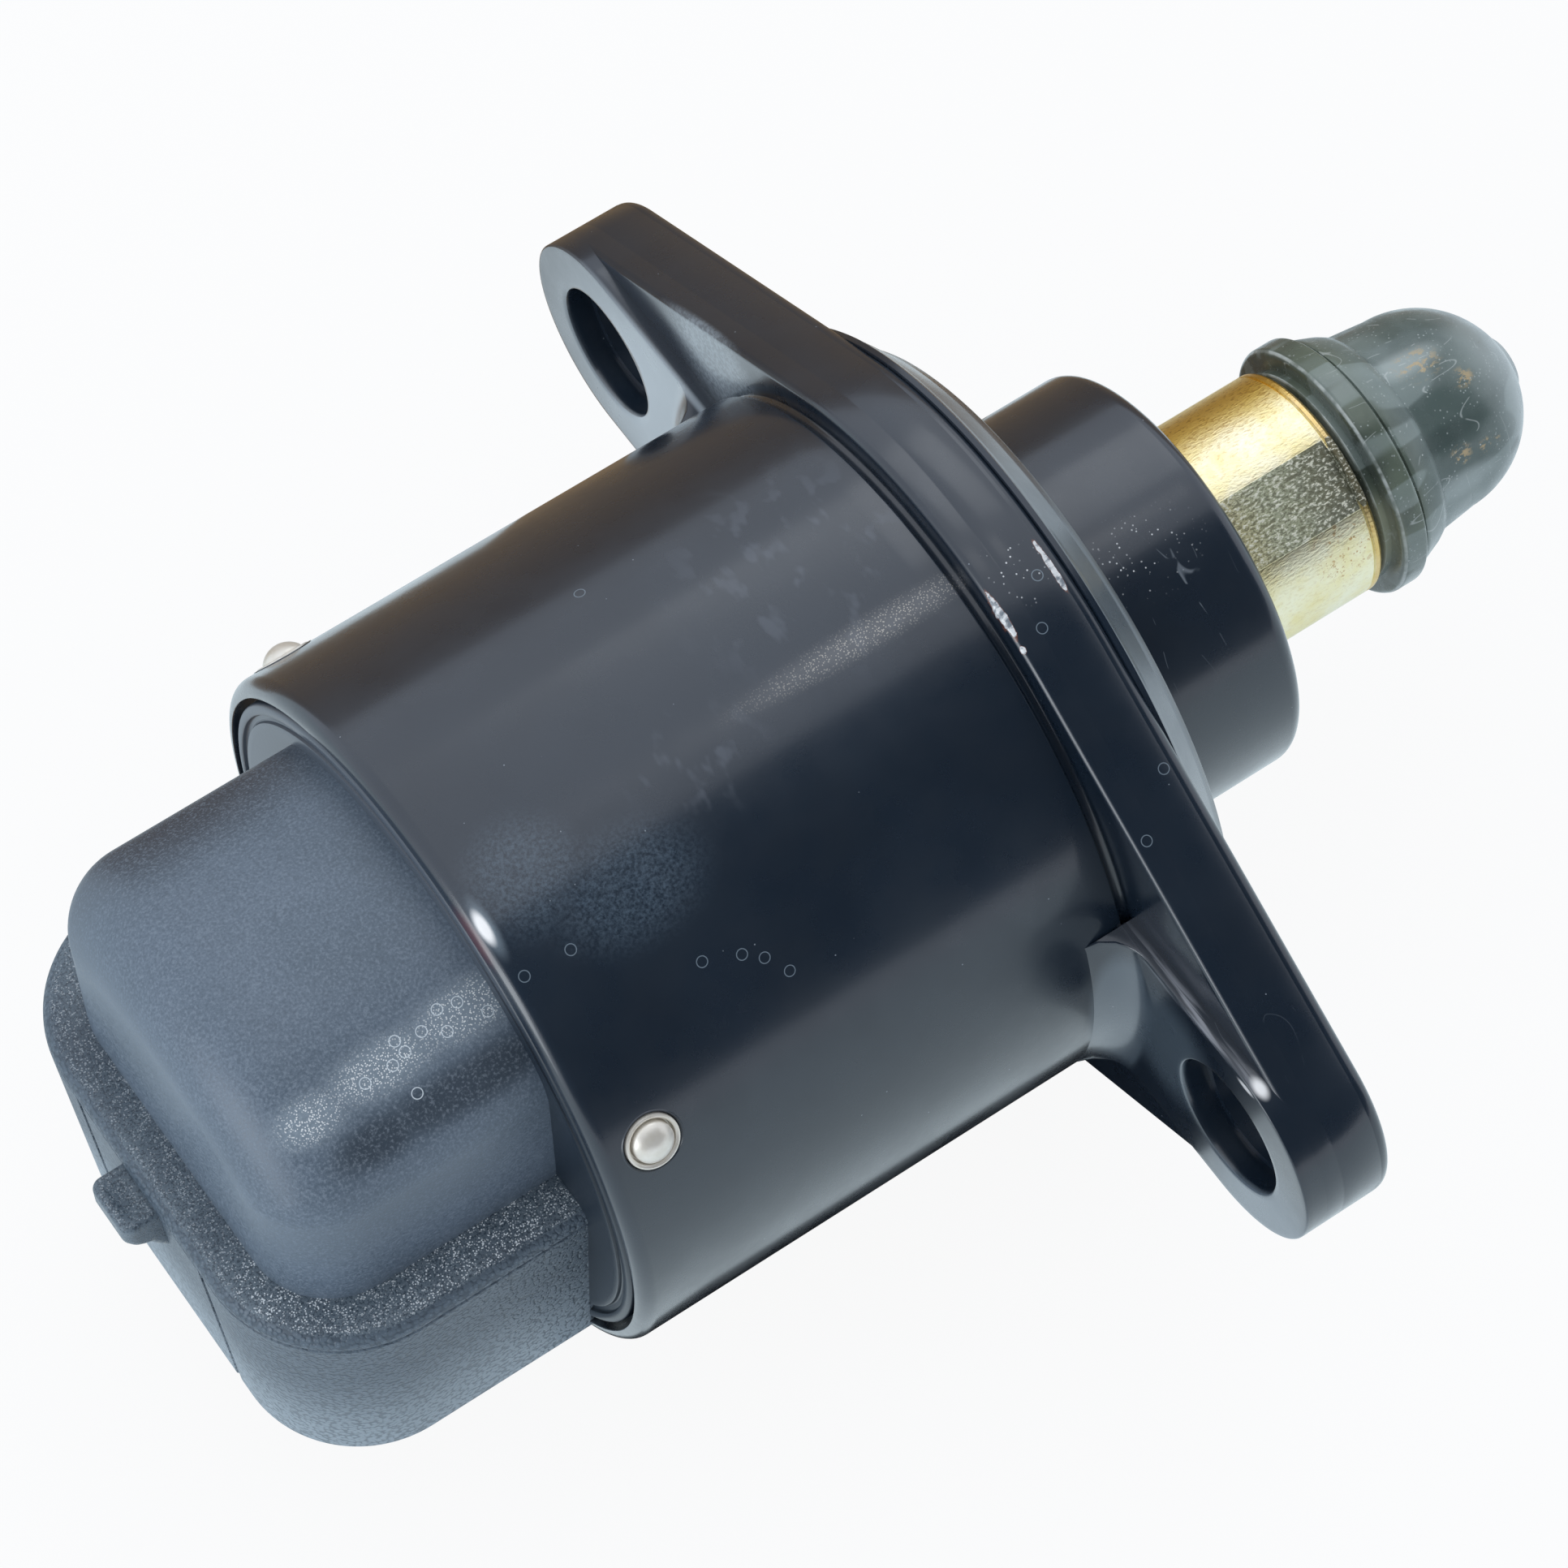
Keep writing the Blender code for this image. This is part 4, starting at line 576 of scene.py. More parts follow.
class Finish:
    """A Principled material painted in layers, with patterns that read the piece's own coordinates."""

    def __init__(self, name, settings):
        self.material = bpy.data.materials.new(name)
        self.material.use_nodes = True
        self.tree = self.material.node_tree
        self.shader = self.tree.nodes["Principled BSDF"]
        for socket, value in settings.items():
            self.shader.inputs[socket].default_value = value
        self.place = self.add("place")
        self.base = None

    def add(self, kind, *inputs):
        """Adds one node to this finish."""
        return add(self.tree, kind, *inputs)

    def times(self, *masks):
        """Product of several outputs or numbers."""
        total = masks[0]
        for mask in masks[1:]:
            total = self.add("MULTIPLY", total, mask)
        return total

    def clouds(self, size_mm, detail=3.0, rough=0.55, stretch=None):
        """Cloudy pattern between 0 and 1 whose patches are about size_mm across; stretch scales its axes."""
        place = self.add("stretched", self.place, stretch) if stretch else self.place
        return self.add("noise", place, 1 / MM / size_mm, detail, rough)

    def oval(self, centre_mm, half_mm, inner=0.3):
        """1 in the middle of an egg shape with these half lengths and 0 beyond it."""
        centred = self.add("vector SUBTRACT", self.place, tuple(c * MM for c in centre_mm))
        even = self.add("vector DIVIDE", centred, tuple(h * MM for h in half_mm))
        return self.add("ramp", self.add("vector LENGTH", even), inner, 1.0, 1.0, 0.0)

    def ovals(self, *places):
        """The strongest of several ovals, each (centre, half lengths)."""
        total = self.oval(*places[0])
        for place in places[1:]:
            total = self.add("MAXIMUM", total, self.oval(*place))
        return total

    def line(self, value, at, inner, outer):
        """1 where a value is within inner of at, and 0 where it is more than outer away."""
        off = self.add("ABSOLUTE", self.add("SUBTRACT", value, at))
        return self.add("ramp", off, inner, outer, 1.0, 0.0)

    def hairlines(self, size_mm, width, stretch):
        """Thin curved scratches: the level lines of a smooth pattern, broken by a second one."""
        level = self.line(self.clouds(size_mm, 0.0, 0.5, stretch), 0.5, 0.0, width)
        return self.times(level, self.add("ramp", self.clouds(size_mm * 0.7, 1.0), 0.5, 0.56))

    def specks(self, spacing_mm, radius_mm):
        """Round specks in loose spacing."""
        cells = self.add("cells", self.place, 1 / MM / spacing_mm)
        radius = radius_mm / spacing_mm
        return self.add("ramp", cells, radius * 0.6, radius, 1.0, 0.0)

    def dried_drops(self, centres_mm):
        """Thin rings round these places on the surface."""
        radius, line = 0.24, 0.03
        nearest = None
        for centre in centres_mm:
            distance = self.add("vector DISTANCE", self.place, tuple(c * MM for c in centre))
            nearest = self.add("MINIMUM", nearest, distance) if nearest else distance
        return self.line(nearest, radius * MM, line * 0.4 * MM, line * MM)

    def paint(self, tone, *masks):
        """Lays a tone, a hex or an output, over the layers below where the product of the masks is high."""
        tone = colour(tone) if isinstance(tone, str) else tone
        self.base = self.add("blend", self.times(*masks), self.base, tone)

    def mottle(self, dark, light, mask):
        """Starts the layers with a tone that wanders between two hexes."""
        self.base = self.add("blend", mask, colour(dark), colour(light))

    def chip_and_glint(self, centre_mm, half_mm):
        """A chipped edge with a painted glint: streaks of bare metal lit white, coating and orange primer."""
        ragged = self.add("ADD", self.oval(centre_mm, half_mm, 0.1), self.clouds(0.6, 4.0, 0.65))
        self.paint("7a4a38", self.add("ramp", ragged, 1.1, 1.16, 0.0, 0.7))
        streaks = self.add("ramp", self.clouds(0.3, 3.0, 0.6, (0.5, 1.0, 1.0)), 0.4, 0.58)
        metal = self.add("blend", streaks, colour("76828c"), colour("e4e8ea"))
        self.paint(metal, self.add("ramp", ragged, 1.18, 1.26, 0.0, 0.9))

    def close(self, height, depth_mm, strength, **maps):
        """Links the layers, a relief of this depth and maps for other sockets, and gives the material."""
        maps["Normal"] = self.add("relief", height, depth_mm * MM, strength)
        for socket, source in {"Base Color": self.base, **maps}.items():
            self.tree.links.new(source, self.shader.inputs[socket])
        return self.material


def coated_casting():
    """Black semi-gloss lacquer sprayed on a die casting, with handling smudges, dried drops, dust and chips,
    and painted highlights, glints and reflections.
    """
    settings = {"Roughness": 0.3, "IOR": 1.5, "Coat Weight": 0.75, "Coat Roughness": 0.16, "Coat IOR": 1.5}
    coat = Finish("black_lacquered_casting", settings)
    ramp, clouds, oval, ovals = partial(coat.add, "ramp"), coat.clouds, coat.oval, coat.ovals
    # Slow change of tone between blue-black and slate, as on any sprayed surface.
    coat.mottle("182431", "1f2b38", ramp(clouds(14.0, 4.0), 0.35, 0.65))
    # The upper pad's rear face and the foot of its fillet are painted pale, a painted reflection of the bright
    # floor they mirror; the lower pad gets the same round its hole and in a softer band across it.
    upper_pad_reflection = ovals(((-5.5, 15.5, 0.0), (0.3, 15.0, 12.0)), ((-6.05, 18.6, 3.2), (0.6, 2.6, 3.5)))
    coat.paint("b3bec6", upper_pad_reflection, 0.95)
    coat.paint("6b7884", oval((-5.5, -27.0, -4.5), (0.3, 5.5, 7.5)), 0.8)
    coat.paint("4f5c67", oval((-5.5, -19.6, 0.6), (0.3, 4.0, 5.0), 0.4), 0.9)
    # The lower run-up is painted paler, a painted highlight on its curve, and it stops sharply at the pad.
    along = coat.add("x", coat.place)
    off_pad = ramp(along, -5.6 * MM, -5.52 * MM, 1.0, 0.0)
    coat.paint("505c66", oval((-6.4, -18.0, 0.0), (1.6, 2.6, 7.5), 0.75), off_pad, 0.9)
    # The plate's rear face beside the upper pad gets a pale painted reflection, broken up by its grain.
    nook_reflection = coat.add("ADD", coat.times(ramp(clouds(0.2, 2.0, 0.6), 0.42, 0.6), 0.4), 0.5)
    coat.paint("9aa6af", oval((-4.75, 15.5, 8.8), (0.5, 5.0, 4.0)), nook_reflection)
    # The turned seat is painted paler and bluer than the lacquer round it.
    seat = coat.times(ramp(along, -0.86 * MM, -0.82 * MM), ramp(along, 0.5 * MM, 0.64 * MM, 1.0, 0.0))
    coat.paint("4c5966", seat, 0.55)
    # Pale comma-like smudges where fingers wiped the upper side of the can; the patch further back lies where
    # the lamp's haze is mirrored and is partly a painted highlight.
    smudges_and_haze = ovals(((-10.0, 1.5, 16.4), (7.0, 7.0, 7.0)), ((-18.7, -3.8, 16.0), (4.0, 3.0, 3.0)))
    smudge = ramp(clouds(0.9, 2.0, 0.5, (1.0, 0.5, 1.0)), 0.54, 0.68)
    coat.paint("6b7380", smudge, smudges_and_haze, 0.25)
    # A painted highlight beside the rim: the lamp's blue-grey haze, broken into fine grain.
    rim_haze_highlight = ovals(((-27.3, -4.2, 16.0), (3.4, 3.4, 3.4)), ((-24.0, -6.5, 15.2), (4.6, 3.2, 3.2)))
    coat.paint("7d93a6", ramp(clouds(0.16, 4.0, 0.7), 0.3, 0.75), rim_haze_highlight, 0.3)
    # A narrow painted highlight along the can where a lamp is mirrored, strewn with coarse overspray grains
    # painted as glints in it, and loose specks painted as glints on the spigot and the plate's edge.
    highlight_band = oval((-9.4, -2.9, 16.2), (8.5, 0.95, 0.95), 0.1)
    coat.paint("a7a9ad", highlight_band, 0.14)
    coat.paint("cdc8be", coat.specks(0.1, 0.038), highlight_band, 0.6)
    speck_glints = ovals(((4.6, -3.1, 9.2), (3.6, 2.4, 1.8)), ((-3.0, -4.2, 16.8), (1.6, 2.2, 1.2)))
    coat.paint("d7dbde", coat.specks(0.24, 0.05), speck_glints, ramp(clouds(0.5, 1.0), 0.42, 0.56), 0.9)
    # Dried drops leave thin rings, and dust lies in loose specks drawn a little larger than real ones.
    drops = (-27.37, -7.42, 14.72), (-29.58, -7.37, 14.75), (-22.85, -10.16, 12.99), (-21.22, -10.64, 12.59)
    drops += (-20.43, -11.11, 12.17), (-19.72, -11.88, 11.43), (-2.36, -4.87, 16.74), (-3.44, -6.74, 16.09)
    drops += (-1.91, -13.43, 12.41), (-4.12, -15.33, 11.32), (-18.0, 6.0, 15.4), (-23.0, 14.0, 8.7)
    coat.paint("8fa0ad", coat.dried_drops(drops), 0.5)
    coat.paint("a9b4be", coat.specks(1.3, 0.04), 0.5)
    # Hairline scratches on the spigot and the lower lug.
    rubbed = ovals(((4.0, -5.5, 8.0), (5.0, 4.0, 4.0)), ((-3.5, -22.0, 3.0), (4.0, 5.0, 5.0)))
    coat.paint("a9b4be", coat.hairlines(1.6, 0.006, (1.0, 0.3, 0.3)), rubbed, 0.4)
    # Chips on the plate's edges where the lamp's glint falls: the white of their bare metal is partly a
    # painted glint.
    coat.chip_and_glint((-4.6, -5.6, 16.5), (0.35, 3.0, 1.6))
    coat.chip_and_glint((-1.65, -5.0, 16.7), (0.3, 3.4, 1.6))
    coat.chip_and_glint((-4.6, -7.0, 15.8), (0.3, 0.5, 0.5))
    # A painted glint on the rim, with a paler halo round it and a reddish fringe inside it.
    coat.paint("5c3a42", oval((-30.45, -5.2, 15.45), (0.3, 2.2, 1.2), 0.3), 0.8)
    coat.paint("a3b5c2", oval((-29.85, -5.1, 15.65), (0.5, 2.0, 1.2), 0.1), 0.5)
    coat.paint("ffffff", oval((-29.95, -5.0, 15.65), (0.32, 1.1, 0.75), 0.4))
    # The upper edge of the lower pad has pale lengthwise streaks, their paleness a painted highlight where the
    # edge faces the lamps, with painted glints at its end.
    drawn = ramp(clouds(0.25, 2.0, 0.6, (1.0, 0.06, 1.0)), 0.42, 0.6, 0.0, 0.75)
    coat.paint("b9bdc6", oval((-5.25, -20.2, 5.45), (0.5, 6.4, 0.4), 0.2), drawn)
    end_glints = ovals(((-5.1, -25.0, 5.4), (0.4, 0.8, 0.35)), ((-5.5, -24.6, 5.2), (0.2, 0.7, 0.25)))
    coat.paint("f6f6f6", end_glints, 0.95)
    # The smudges are duller than the coat.
    rough = ramp(clouds(3.0, 5.0, 0.6), 0.3, 0.7, 0.24, 0.36)
    rough = coat.add("ADD", rough, coat.times(smudges_and_haze, smudge, 0.1))
    # The spray's fine unevenness, drawn coarser than real so that it shows at this size.
    return coat.close(clouds(0.16, 2.0), 0.005, 0.6, Roughness=rough)


def fine_moulding():
    """Dark grey glass-filled moulding with a fine eroded grain, for the rounded back."""
    dome = Finish("dark_grey_fine_moulding", {"Roughness": 0.45, "IOR": 1.5})
    ramp, ovals = partial(dome.add, "ramp"), dome.ovals
    dome.mottle("5a6876", "637180", ramp(dome.clouds(7.0, 3.0), 0.3, 0.7))
    # The top edge over the disc is painted darker.
    dome.paint("2d3039", dome.oval((-36.0, 9.5, 10.0), (9.5, 5.2, 7.0), 0.2), 0.7)
    # Below the corner line the side is painted darker, as shade.
    under = ovals(((-33.2, -8.5, 11.0), (7.0, 1.4, 1.7)), ((-37.6, -8.5, 10.9), (3.0, 1.3, 1.6)))
    dome.paint("222d39", under, 0.66)
    # Grain all over, drawn a little coarser than real, with a painted highlight along the corner and painted
    # glints on the grain's tops there.
    grain = dome.clouds(0.13, 2.0, 0.6)
    dome.paint("8d99a6", ramp(grain, 0.48, 0.7, 0.0, 0.35))
    dome.paint("39444f", ramp(grain, 0.5, 0.32, 0.0, 0.3))
    near, far = ((-31.5, -6.2, 12.4), (4.5, 1.7, 1.7)), ((-36.0, -6.4, 12.3), (4.0, 1.6, 1.6))
    highlight_band = ovals(near, far, ((-39.6, -6.6, 12.0), (2.4, 1.5, 1.5)))
    dome.paint("93a1ac", highlight_band, 0.5)
    dome.paint("eef1f2", dome.specks(0.1, 0.04), highlight_band, highlight_band, 0.8)
    # Dried drops near the corner.
    drops = (-31.97, -5.81, 12.58), (-32.84, -5.65, 12.65), (-31.07, -6.68, 12.17), (-33.86, -6.05, 12.48)
    drops += (-32.94, -6.55, 12.25), (-35.01, -5.84, 12.57), (-34.87, -6.38, 12.34), (-35.59, -6.57, 12.24)
    drops += (-36.94, -6.6, 12.22), (-35.29, -7.83, 11.44)
    dome.paint("d2dce3", dome.dried_drops(drops), 0.85)
    return dome.close(grain, 0.02, 0.6, Roughness=ramp(grain, 0.35, 0.65, 0.34, 0.5))


def rim_moulding():
    """The disc's face and edge: the same moulding, painted darker as shade where it is sunk beside the can's
    rim.
    """
    disc = Finish("dark_grey_rim_moulding", {"Roughness": 0.35, "IOR": 1.5})
    disc.mottle("525b66", "202b37", disc.oval((-30.5, -12.0, 2.0), (3.0, 12.0, 16.0), 0.6))
    return disc.close(disc.clouds(0.2, 2.0), 0.01, 0.5)


def sparkling_moulding():
    """The same moulding where the mould was eroded coarsely: the ledge and the latch glitter with painted
    glints.
    """
    ledge = Finish("dark_grey_sparkling_moulding", {"Roughness": 0.35, "IOR": 1.5})
    ramp, times, clouds = partial(ledge.add, "ramp"), ledge.times, ledge.clouds
    ledge.mottle("515e6a", "66747f", ramp(clouds(5.0, 3.0), 0.3, 0.7))
    # Pits between the grains, and the grains' bright tops as painted glints, most where the ledge is lit and
    # fewer on the rounded edge.
    coarse = clouds(0.13, 3.0, 0.7)
    ledge.paint("2b3743", ramp(coarse, 0.52, 0.4, 0.0, 0.7))
    along, height = ledge.add("x", ledge.place), ledge.add("z", ledge.place)
    latch_top = ramp(height, 0.38 * MM, 0.42 * MM, 0.0, 0.8)
    on_latch = times(ramp(along, -45.3 * MM, -45.1 * MM, 1.0, 0.0), latch_top)
    level = ledge.add("MAXIMUM", ramp(height, 1.55 * MM, 1.69 * MM), on_latch)
    lit = ledge.ovals(((-34.5, -12.0, 1.7), (8.0, 4.0, 3.0)), ((-42.0, -8.0, 1.7), (4.0, 4.5, 3.0)))
    cover = times(ledge.add("ADD", times(lit, 0.6), 0.4), ledge.add("ADD", times(level, 0.9), 0.1))
    grains = times(ledge.specks(0.1, 0.044), ramp(clouds(0.4, 2.0), 0.36, 0.56))
    ledge.paint("e4ebf0", grains, cover)
    return ledge.close(coarse, 0.03, 0.8, Roughness=ramp(coarse, 0.35, 0.65, 0.2, 0.45))


def leathered_moulding():
    """The hood's wall: the moulding with a leather grain, painted paler towards the mouth as the floor's
    reflected light.
    """
    wall = Finish("dark_grey_leathered_moulding", {"Roughness": 0.42, "IOR": 1.5})
    ramp = partial(wall.add, "ramp")
    # Painted paler towards the mouth, standing in for the light the floor throws up.
    lit_from_floor = ramp(wall.add("z", wall.place), -11.5 * MM, -2.0 * MM, 1.0, 0.0)
    wall.mottle("53616e", "95a3ad", lit_from_floor)
    # Leather cells about a quarter millimetre across, with darker furrows between them.
    cells = wall.add("cells", wall.place, 1 / MM / 0.22, 0.9)
    furrows = ramp(cells, 0.42, 0.8)
    wall.paint("2f3b47", furrows, 0.5)
    wall.paint("aab5bd", ramp(cells, 0.0, 0.3, 0.25, 0.0))
    return wall.close(wall.times(furrows, -1.0), 0.05, 0.7)


def ground_steel():
    """Satin nickel on ground dowel steel: a pearly, softly uneven glint."""
    steel = Finish("satin_nickel_dowel", {"Roughness": 0.36, "Metallic": 0.45})
    steel.mottle("d9d1c0", "fdfaf4", steel.clouds(0.7, 3.0))
    return steel.close(steel.clouds(0.25, 2.0), 0.006, 0.5)


def passivated_tube():
    """Yellow passivated steel tube: a cream film, golden where it is thick, with a grey-green painted
    reflection on the struck flats.
    """
    film = Finish("yellow_passivated_tube", {"Roughness": 0.34, "Metallic": 1.0})
    ramp, times = partial(film.add, "ramp"), film.times
    along, aside = film.add("x", film.place), film.add("y", film.place)
    film.mottle("f8e9b0", "fff8da", ramp(film.clouds(2.0, 4.0, 0.6), 0.3, 0.7))
    # The film is thicker, more golden and more wrinkled on the upper side.
    film.paint("ffdc68", ramp(aside, 0.8 * MM, 3.2 * MM, 0.0, 0.85))
    # Wrinkles of the film, finer than a grain of salt, with a few orange pits near the lip.
    wrinkles = film.clouds(0.12, 3.0, 0.65, (0.45, 1.0, 1.0))
    film.paint("b98a34", ramp(wrinkles, 0.52, 0.64), ramp(aside, -1.0 * MM, 3.4 * MM, 0.15, 0.6))
    pits = ramp(film.clouds(0.25, 3.0, 0.7), 0.56, 0.64)
    film.paint("b9812c", pits, film.oval((14.8, -4.8, 2.4), (2.5, 2.2, 2.6)), 0.7)
    film.paint("dfb14a", ramp(along, 16.2 * MM, 16.25 * MM, 0.0, 0.6))
    # The flat is where the tube was struck and hammered; its tone is painted greener and duller towards the
    # lip as the reflection it holds, with painted highlights and painted shade on the hammer marks.
    lean = np.radians(FLAT_ANGLE)
    across = film.add("vector DOT_PRODUCT", film.place, (0.0, float(np.cos(lean)), float(np.sin(lean))))
    flat = ramp(film.add("ABSOLUTE", across), (FLAT_R - 0.02) * MM, (FLAT_R - 0.005) * MM)
    hammered = film.clouds(0.12, 2.0, 0.6, (0.55, 1.0, 1.0))
    tone = colour("f2e0a2")
    for hexa, mask in (
        ("b4bb9e", ramp(along, 8.5 * MM, 12.5 * MM)),
        ("5f6a62", ramp(along, 12.2 * MM, 16.0 * MM)),
        ("fffff0", ramp(hammered, 0.53, 0.63, 0.0, 0.9)),
        ("2b322a", ramp(hammered, 0.5, 0.4, 0.0, 0.65)),
    ):
        tone = film.add("blend", mask, tone, colour(hexa))
    film.paint(tone, flat, 0.85)
    # The film is thick on the flat and hides part of the metal.
    maps = {"Roughness": ramp(flat, 0.0, 1.0, 0.34, 0.45), "Metallic": ramp(flat, 0.0, 1.0, 1.0, 0.45)}
    height = film.add("ADD", times(hammered, flat, 2.0), times(wrinkles, 1.6))
    return film.close(height, 0.02, 0.9, **maps)


def polished_pintle():
    """Grey-green moulding polished by the air and the seat, with scratches, specks and tan wear."""
    settings = {"Roughness": 0.24, "IOR": 1.52, "Sheen Weight": 0.14, "Sheen Roughness": 0.35}
    pintle = Finish("grey_green_pintle_moulding", {**settings, "Sheen Tint": colour("dfe6e8")})
    ramp, clouds = partial(pintle.add, "ramp"), pintle.clouds
    along = pintle.add("x", pintle.place)
    tone = ramp(clouds(4.0, 4.0), 0.3, 0.7)
    pintle.mottle("54625f", "73807d", tone)
    head = pintle.base
    pintle.mottle("424c45", "667163", tone)
    pintle.paint(head, ramp(along, 18.3 * MM, 20.5 * MM))
    # Lengthwise pale bands and one dark band on the head are painted reflections of the lamps, with faint
    # lengthwise streaks.
    head_lamp_reflections = pintle.ovals(((21.5, 0.2, 5.0), (3.2, 0.9, 0.8)), ((22.0, -4.8, 1.6), (3.4, 0.5, 1.2)))
    pintle.paint("aab5b4", head_lamp_reflections, 0.6)
    pintle.paint("354341", pintle.oval((21.5, -3.4, 3.8), (3.5, 0.8, 0.9)), 0.5)
    pintle.paint("9caaa8", ramp(clouds(2.2, 1.0, 0.4, (0.12, 1.0, 1.0)), 0.5, 0.54), 0.38)
    # Pale lines are painted along the corners of the collar, broken in places.
    lines = [pintle.line(along, x * MM, w / 3 * MM, w * MM) for x, w in ((17.42, 0.09), (16.95, 0.06))]
    broken = ramp(clouds(1.2, 3.0, 0.6), 0.38, 0.6, 0.15, 0.85)
    pintle.paint("ccd4d0", pintle.add("MAXIMUM", *lines), broken)
    # The collar's lower side is painted a paler olive, and the tip a pale grey that is partly its wear and
    # partly a painted reflection of the white surroundings.
    pintle.paint("9a9f88", pintle.oval((17.1, -4.8, 1.6), (0.7, 2.2, 3.2)), 0.85)
    pintle.paint("d4dcdf", ramp(along, 23.5 * MM, 27.5 * MM, 0.0, 0.45))
    # Tan wear on the head, then scratches, specks and powder, which are drawn larger than real ones.
    worn = ((22.2, -0.1, 4.9), (1.5, 1.1, 1.1)), ((23.7, -1.65, 4.5), (0.8, 0.6, 0.6))
    worn += ((21.9, -4.1, 2.8), (0.8, 0.5, 0.8)), ((23.5, -4.1, 2.4), (0.9, 0.6, 0.6))
    patchy = ramp(clouds(0.3, 4.0, 0.7, (0.6, 1.0, 1.0)), 0.5, 0.6)
    pintle.paint("bda67c", patchy, pintle.ovals(*worn), 0.8)
    scratches = pintle.hairlines(3.0, 0.004, (1.0, 0.25, 0.25)), pintle.hairlines(1.2, 0.01, (0.25, 1.0, 1.0))
    pintle.paint("d5dcda", pintle.add("MAXIMUM", *scratches), 0.4)
    pintle.paint("d5dcda", pintle.specks(0.8, 0.05), 0.6)
    pintle.paint("c3cdcb", pintle.specks(0.22, 0.05), ramp(clouds(1.4, 3.0), 0.44, 0.62), 0.5)
    haze = ramp(clouds(1.8, 4.0, 0.65), 0.35, 0.65, 0.16, 0.36)
    return pintle.close(clouds(0.5, 3.0), 0.005, 0.5, Roughness=haze)


def plain_finishes():
    """Better materials for the inner nodes: {slot: material}."""
    made = {}
    for slot, name, hexa, rough, metallic, size_mm, depth_mm in (
        ("tinned_terminal", "tinned_brass_strip", "d6d0bf", 0.3, 1.0, 0.3, 0.004),
        ("pole_steel", "pressed_pole_steel", "9a9da1", 0.4, 1.0, 0.5, 0.006),
        ("white_moulding", "natural_nylon_moulding", "dcd9cf", 0.5, 0.0, 0.6, 0.008),
        ("enamelled_copper", "enamelled_copper_wire", "b0582c", 0.35, 1.0, 0.2, 0.03),
        ("sintered_bronze", "sintered_bronze", "a9824f", 0.5, 1.0, 0.25, 0.02),
        ("ferrite", "bonded_ferrite", "2b2b2e", 0.6, 0.0, 0.4, 0.01),
        ("rubber_seal", "black_seal_rubber", "141414", 0.6, 0.0, 0.4, 0.01),
        ("bright_steel", "ground_bearing_steel", "cfccc6", 0.22, 1.0, 0.3, 0.003),
    ):
        light = colour(hexa)
        plain = Finish(name, {"Base Color": light, "Roughness": rough, "Metallic": metallic})
        grain = plain.clouds(size_mm, 3.0)
        plain.base = plain.add("blend", grain, (*(0.8 * part for part in light[:3]), 1.0), light)
        made[slot] = plain.close(grain, depth_mm, 0.6)
    return made


def seen_directly(tree):
    """1 for the rays of the camera, of reflections and through clear pieces, and 0 for light that falls."""
    seen = add(tree, "MAXIMUM", add(tree, "Camera ray"), add(tree, "Glossy ray"))
    return add(tree, "MAXIMUM", seen, add(tree, "Transmission ray"))


def build_world():
    """White surroundings: white to the camera, a little cooler in reflections, dimmer as light that falls."""
    world = bpy.data.worlds.new("white_surroundings")
    world.use_nodes = True
    bpy.context.scene.world = world
    tree = world.node_tree
    fallen, mirrored, white = (0.66, 0.69, 0.74, 1.0), (0.93, 0.98, 1.07, 1.0), (1.0, 1.0, 1.0, 1.0)
    around = add(tree, "blend", seen_directly(tree), fallen, mirrored)
    around = add(tree, "blend", add(tree, "Camera ray"), around, white)
    tree.links.new(around, tree.nodes["Background"].inputs["Color"])


def build_boards():
    """Pale floor that keeps the shadow, and boards out of the camera's sight that the lacquer mirrors."""
    paper = Finish("white_paper_floor", {"Base Color": colour("dde4ed"), "Roughness": 0.9})
    # The camera sees the sheet white and reflections see it a little cooler; the shadow on it stays.
    tone = paper.add("blend", paper.add("Camera ray"), colour("e7f7ff"), colour("ffffff"))
    share = paper.times(seen_directly(paper.tree), 0.92)
    sheet = paper.add("blended shaders", share, paper.shader.outputs[0], paper.add("glow", tone, 1.0))
    paper.tree.links.new(sheet, paper.tree.nodes["Material Output"].inputs["Surface"])
    floor_z, half = -17.6, 900
    corners = (-half, -half), (half, -half), (half, half), (-half, half)
    add_board("floor", [(x, y, floor_z) for x, y in corners], paper.material)

    dark = Finish("dark_board", {"Base Color": colour("191c22"), "Roughness": 0.9}).material
    brown = Finish("brown_board", {"Base Color": colour("957b59"), "Roughness": 0.9}).material
    add_card("front_board", [(-500, -330, 42), (500, -330, 42), (500, -330, 330), (-500, -330, 330)], dark)
    add_card("front_canopy", [(-500, -330, 330), (500, -330, 330), (500, -95, 480), (-500, -95, 480)], dark)
    card_z = floor_z + 0.1
    # The floor under the can lies in the can's own shade.
    shade = [(-31, -15), (-24, -18), (2, -18), (2, 10), (-31, 10)]
    add_card("shaded_floor", [(x, y, card_z) for x, y in shade], dark)
    add_card("back_board", [(260, 45, card_z), (-45, 45, card_z), (-45, 130, 52), (260, 130, 52)], brown)
    # It runs on over the floor towards the valve, but not where the upper pad is mirrored.
    foot = [(260, 45), (-8, 45), (-8, 21), (-45, 21), (-45, 12), (14, 12), (14, 30), (260, 30)]
    add_card("back_board_foot", [(x, y, card_z) for x, y in foot], brown)


def add_board(name, corners, material):
    mesh = bpy.data.meshes.new(name)
    mesh.from_pydata([tuple(c * MM for c in corner) for corner in corners], [], [range(len(corners))])
    mesh.materials.append(material)
    made = add_object(name, mesh)
    made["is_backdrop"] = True
    return made


def add_card(name, corners, material):
    """A board that only reflections see."""
    card = add_board(name, corners, material)
    card.visible_camera = card.visible_diffuse = card.visible_shadow = False


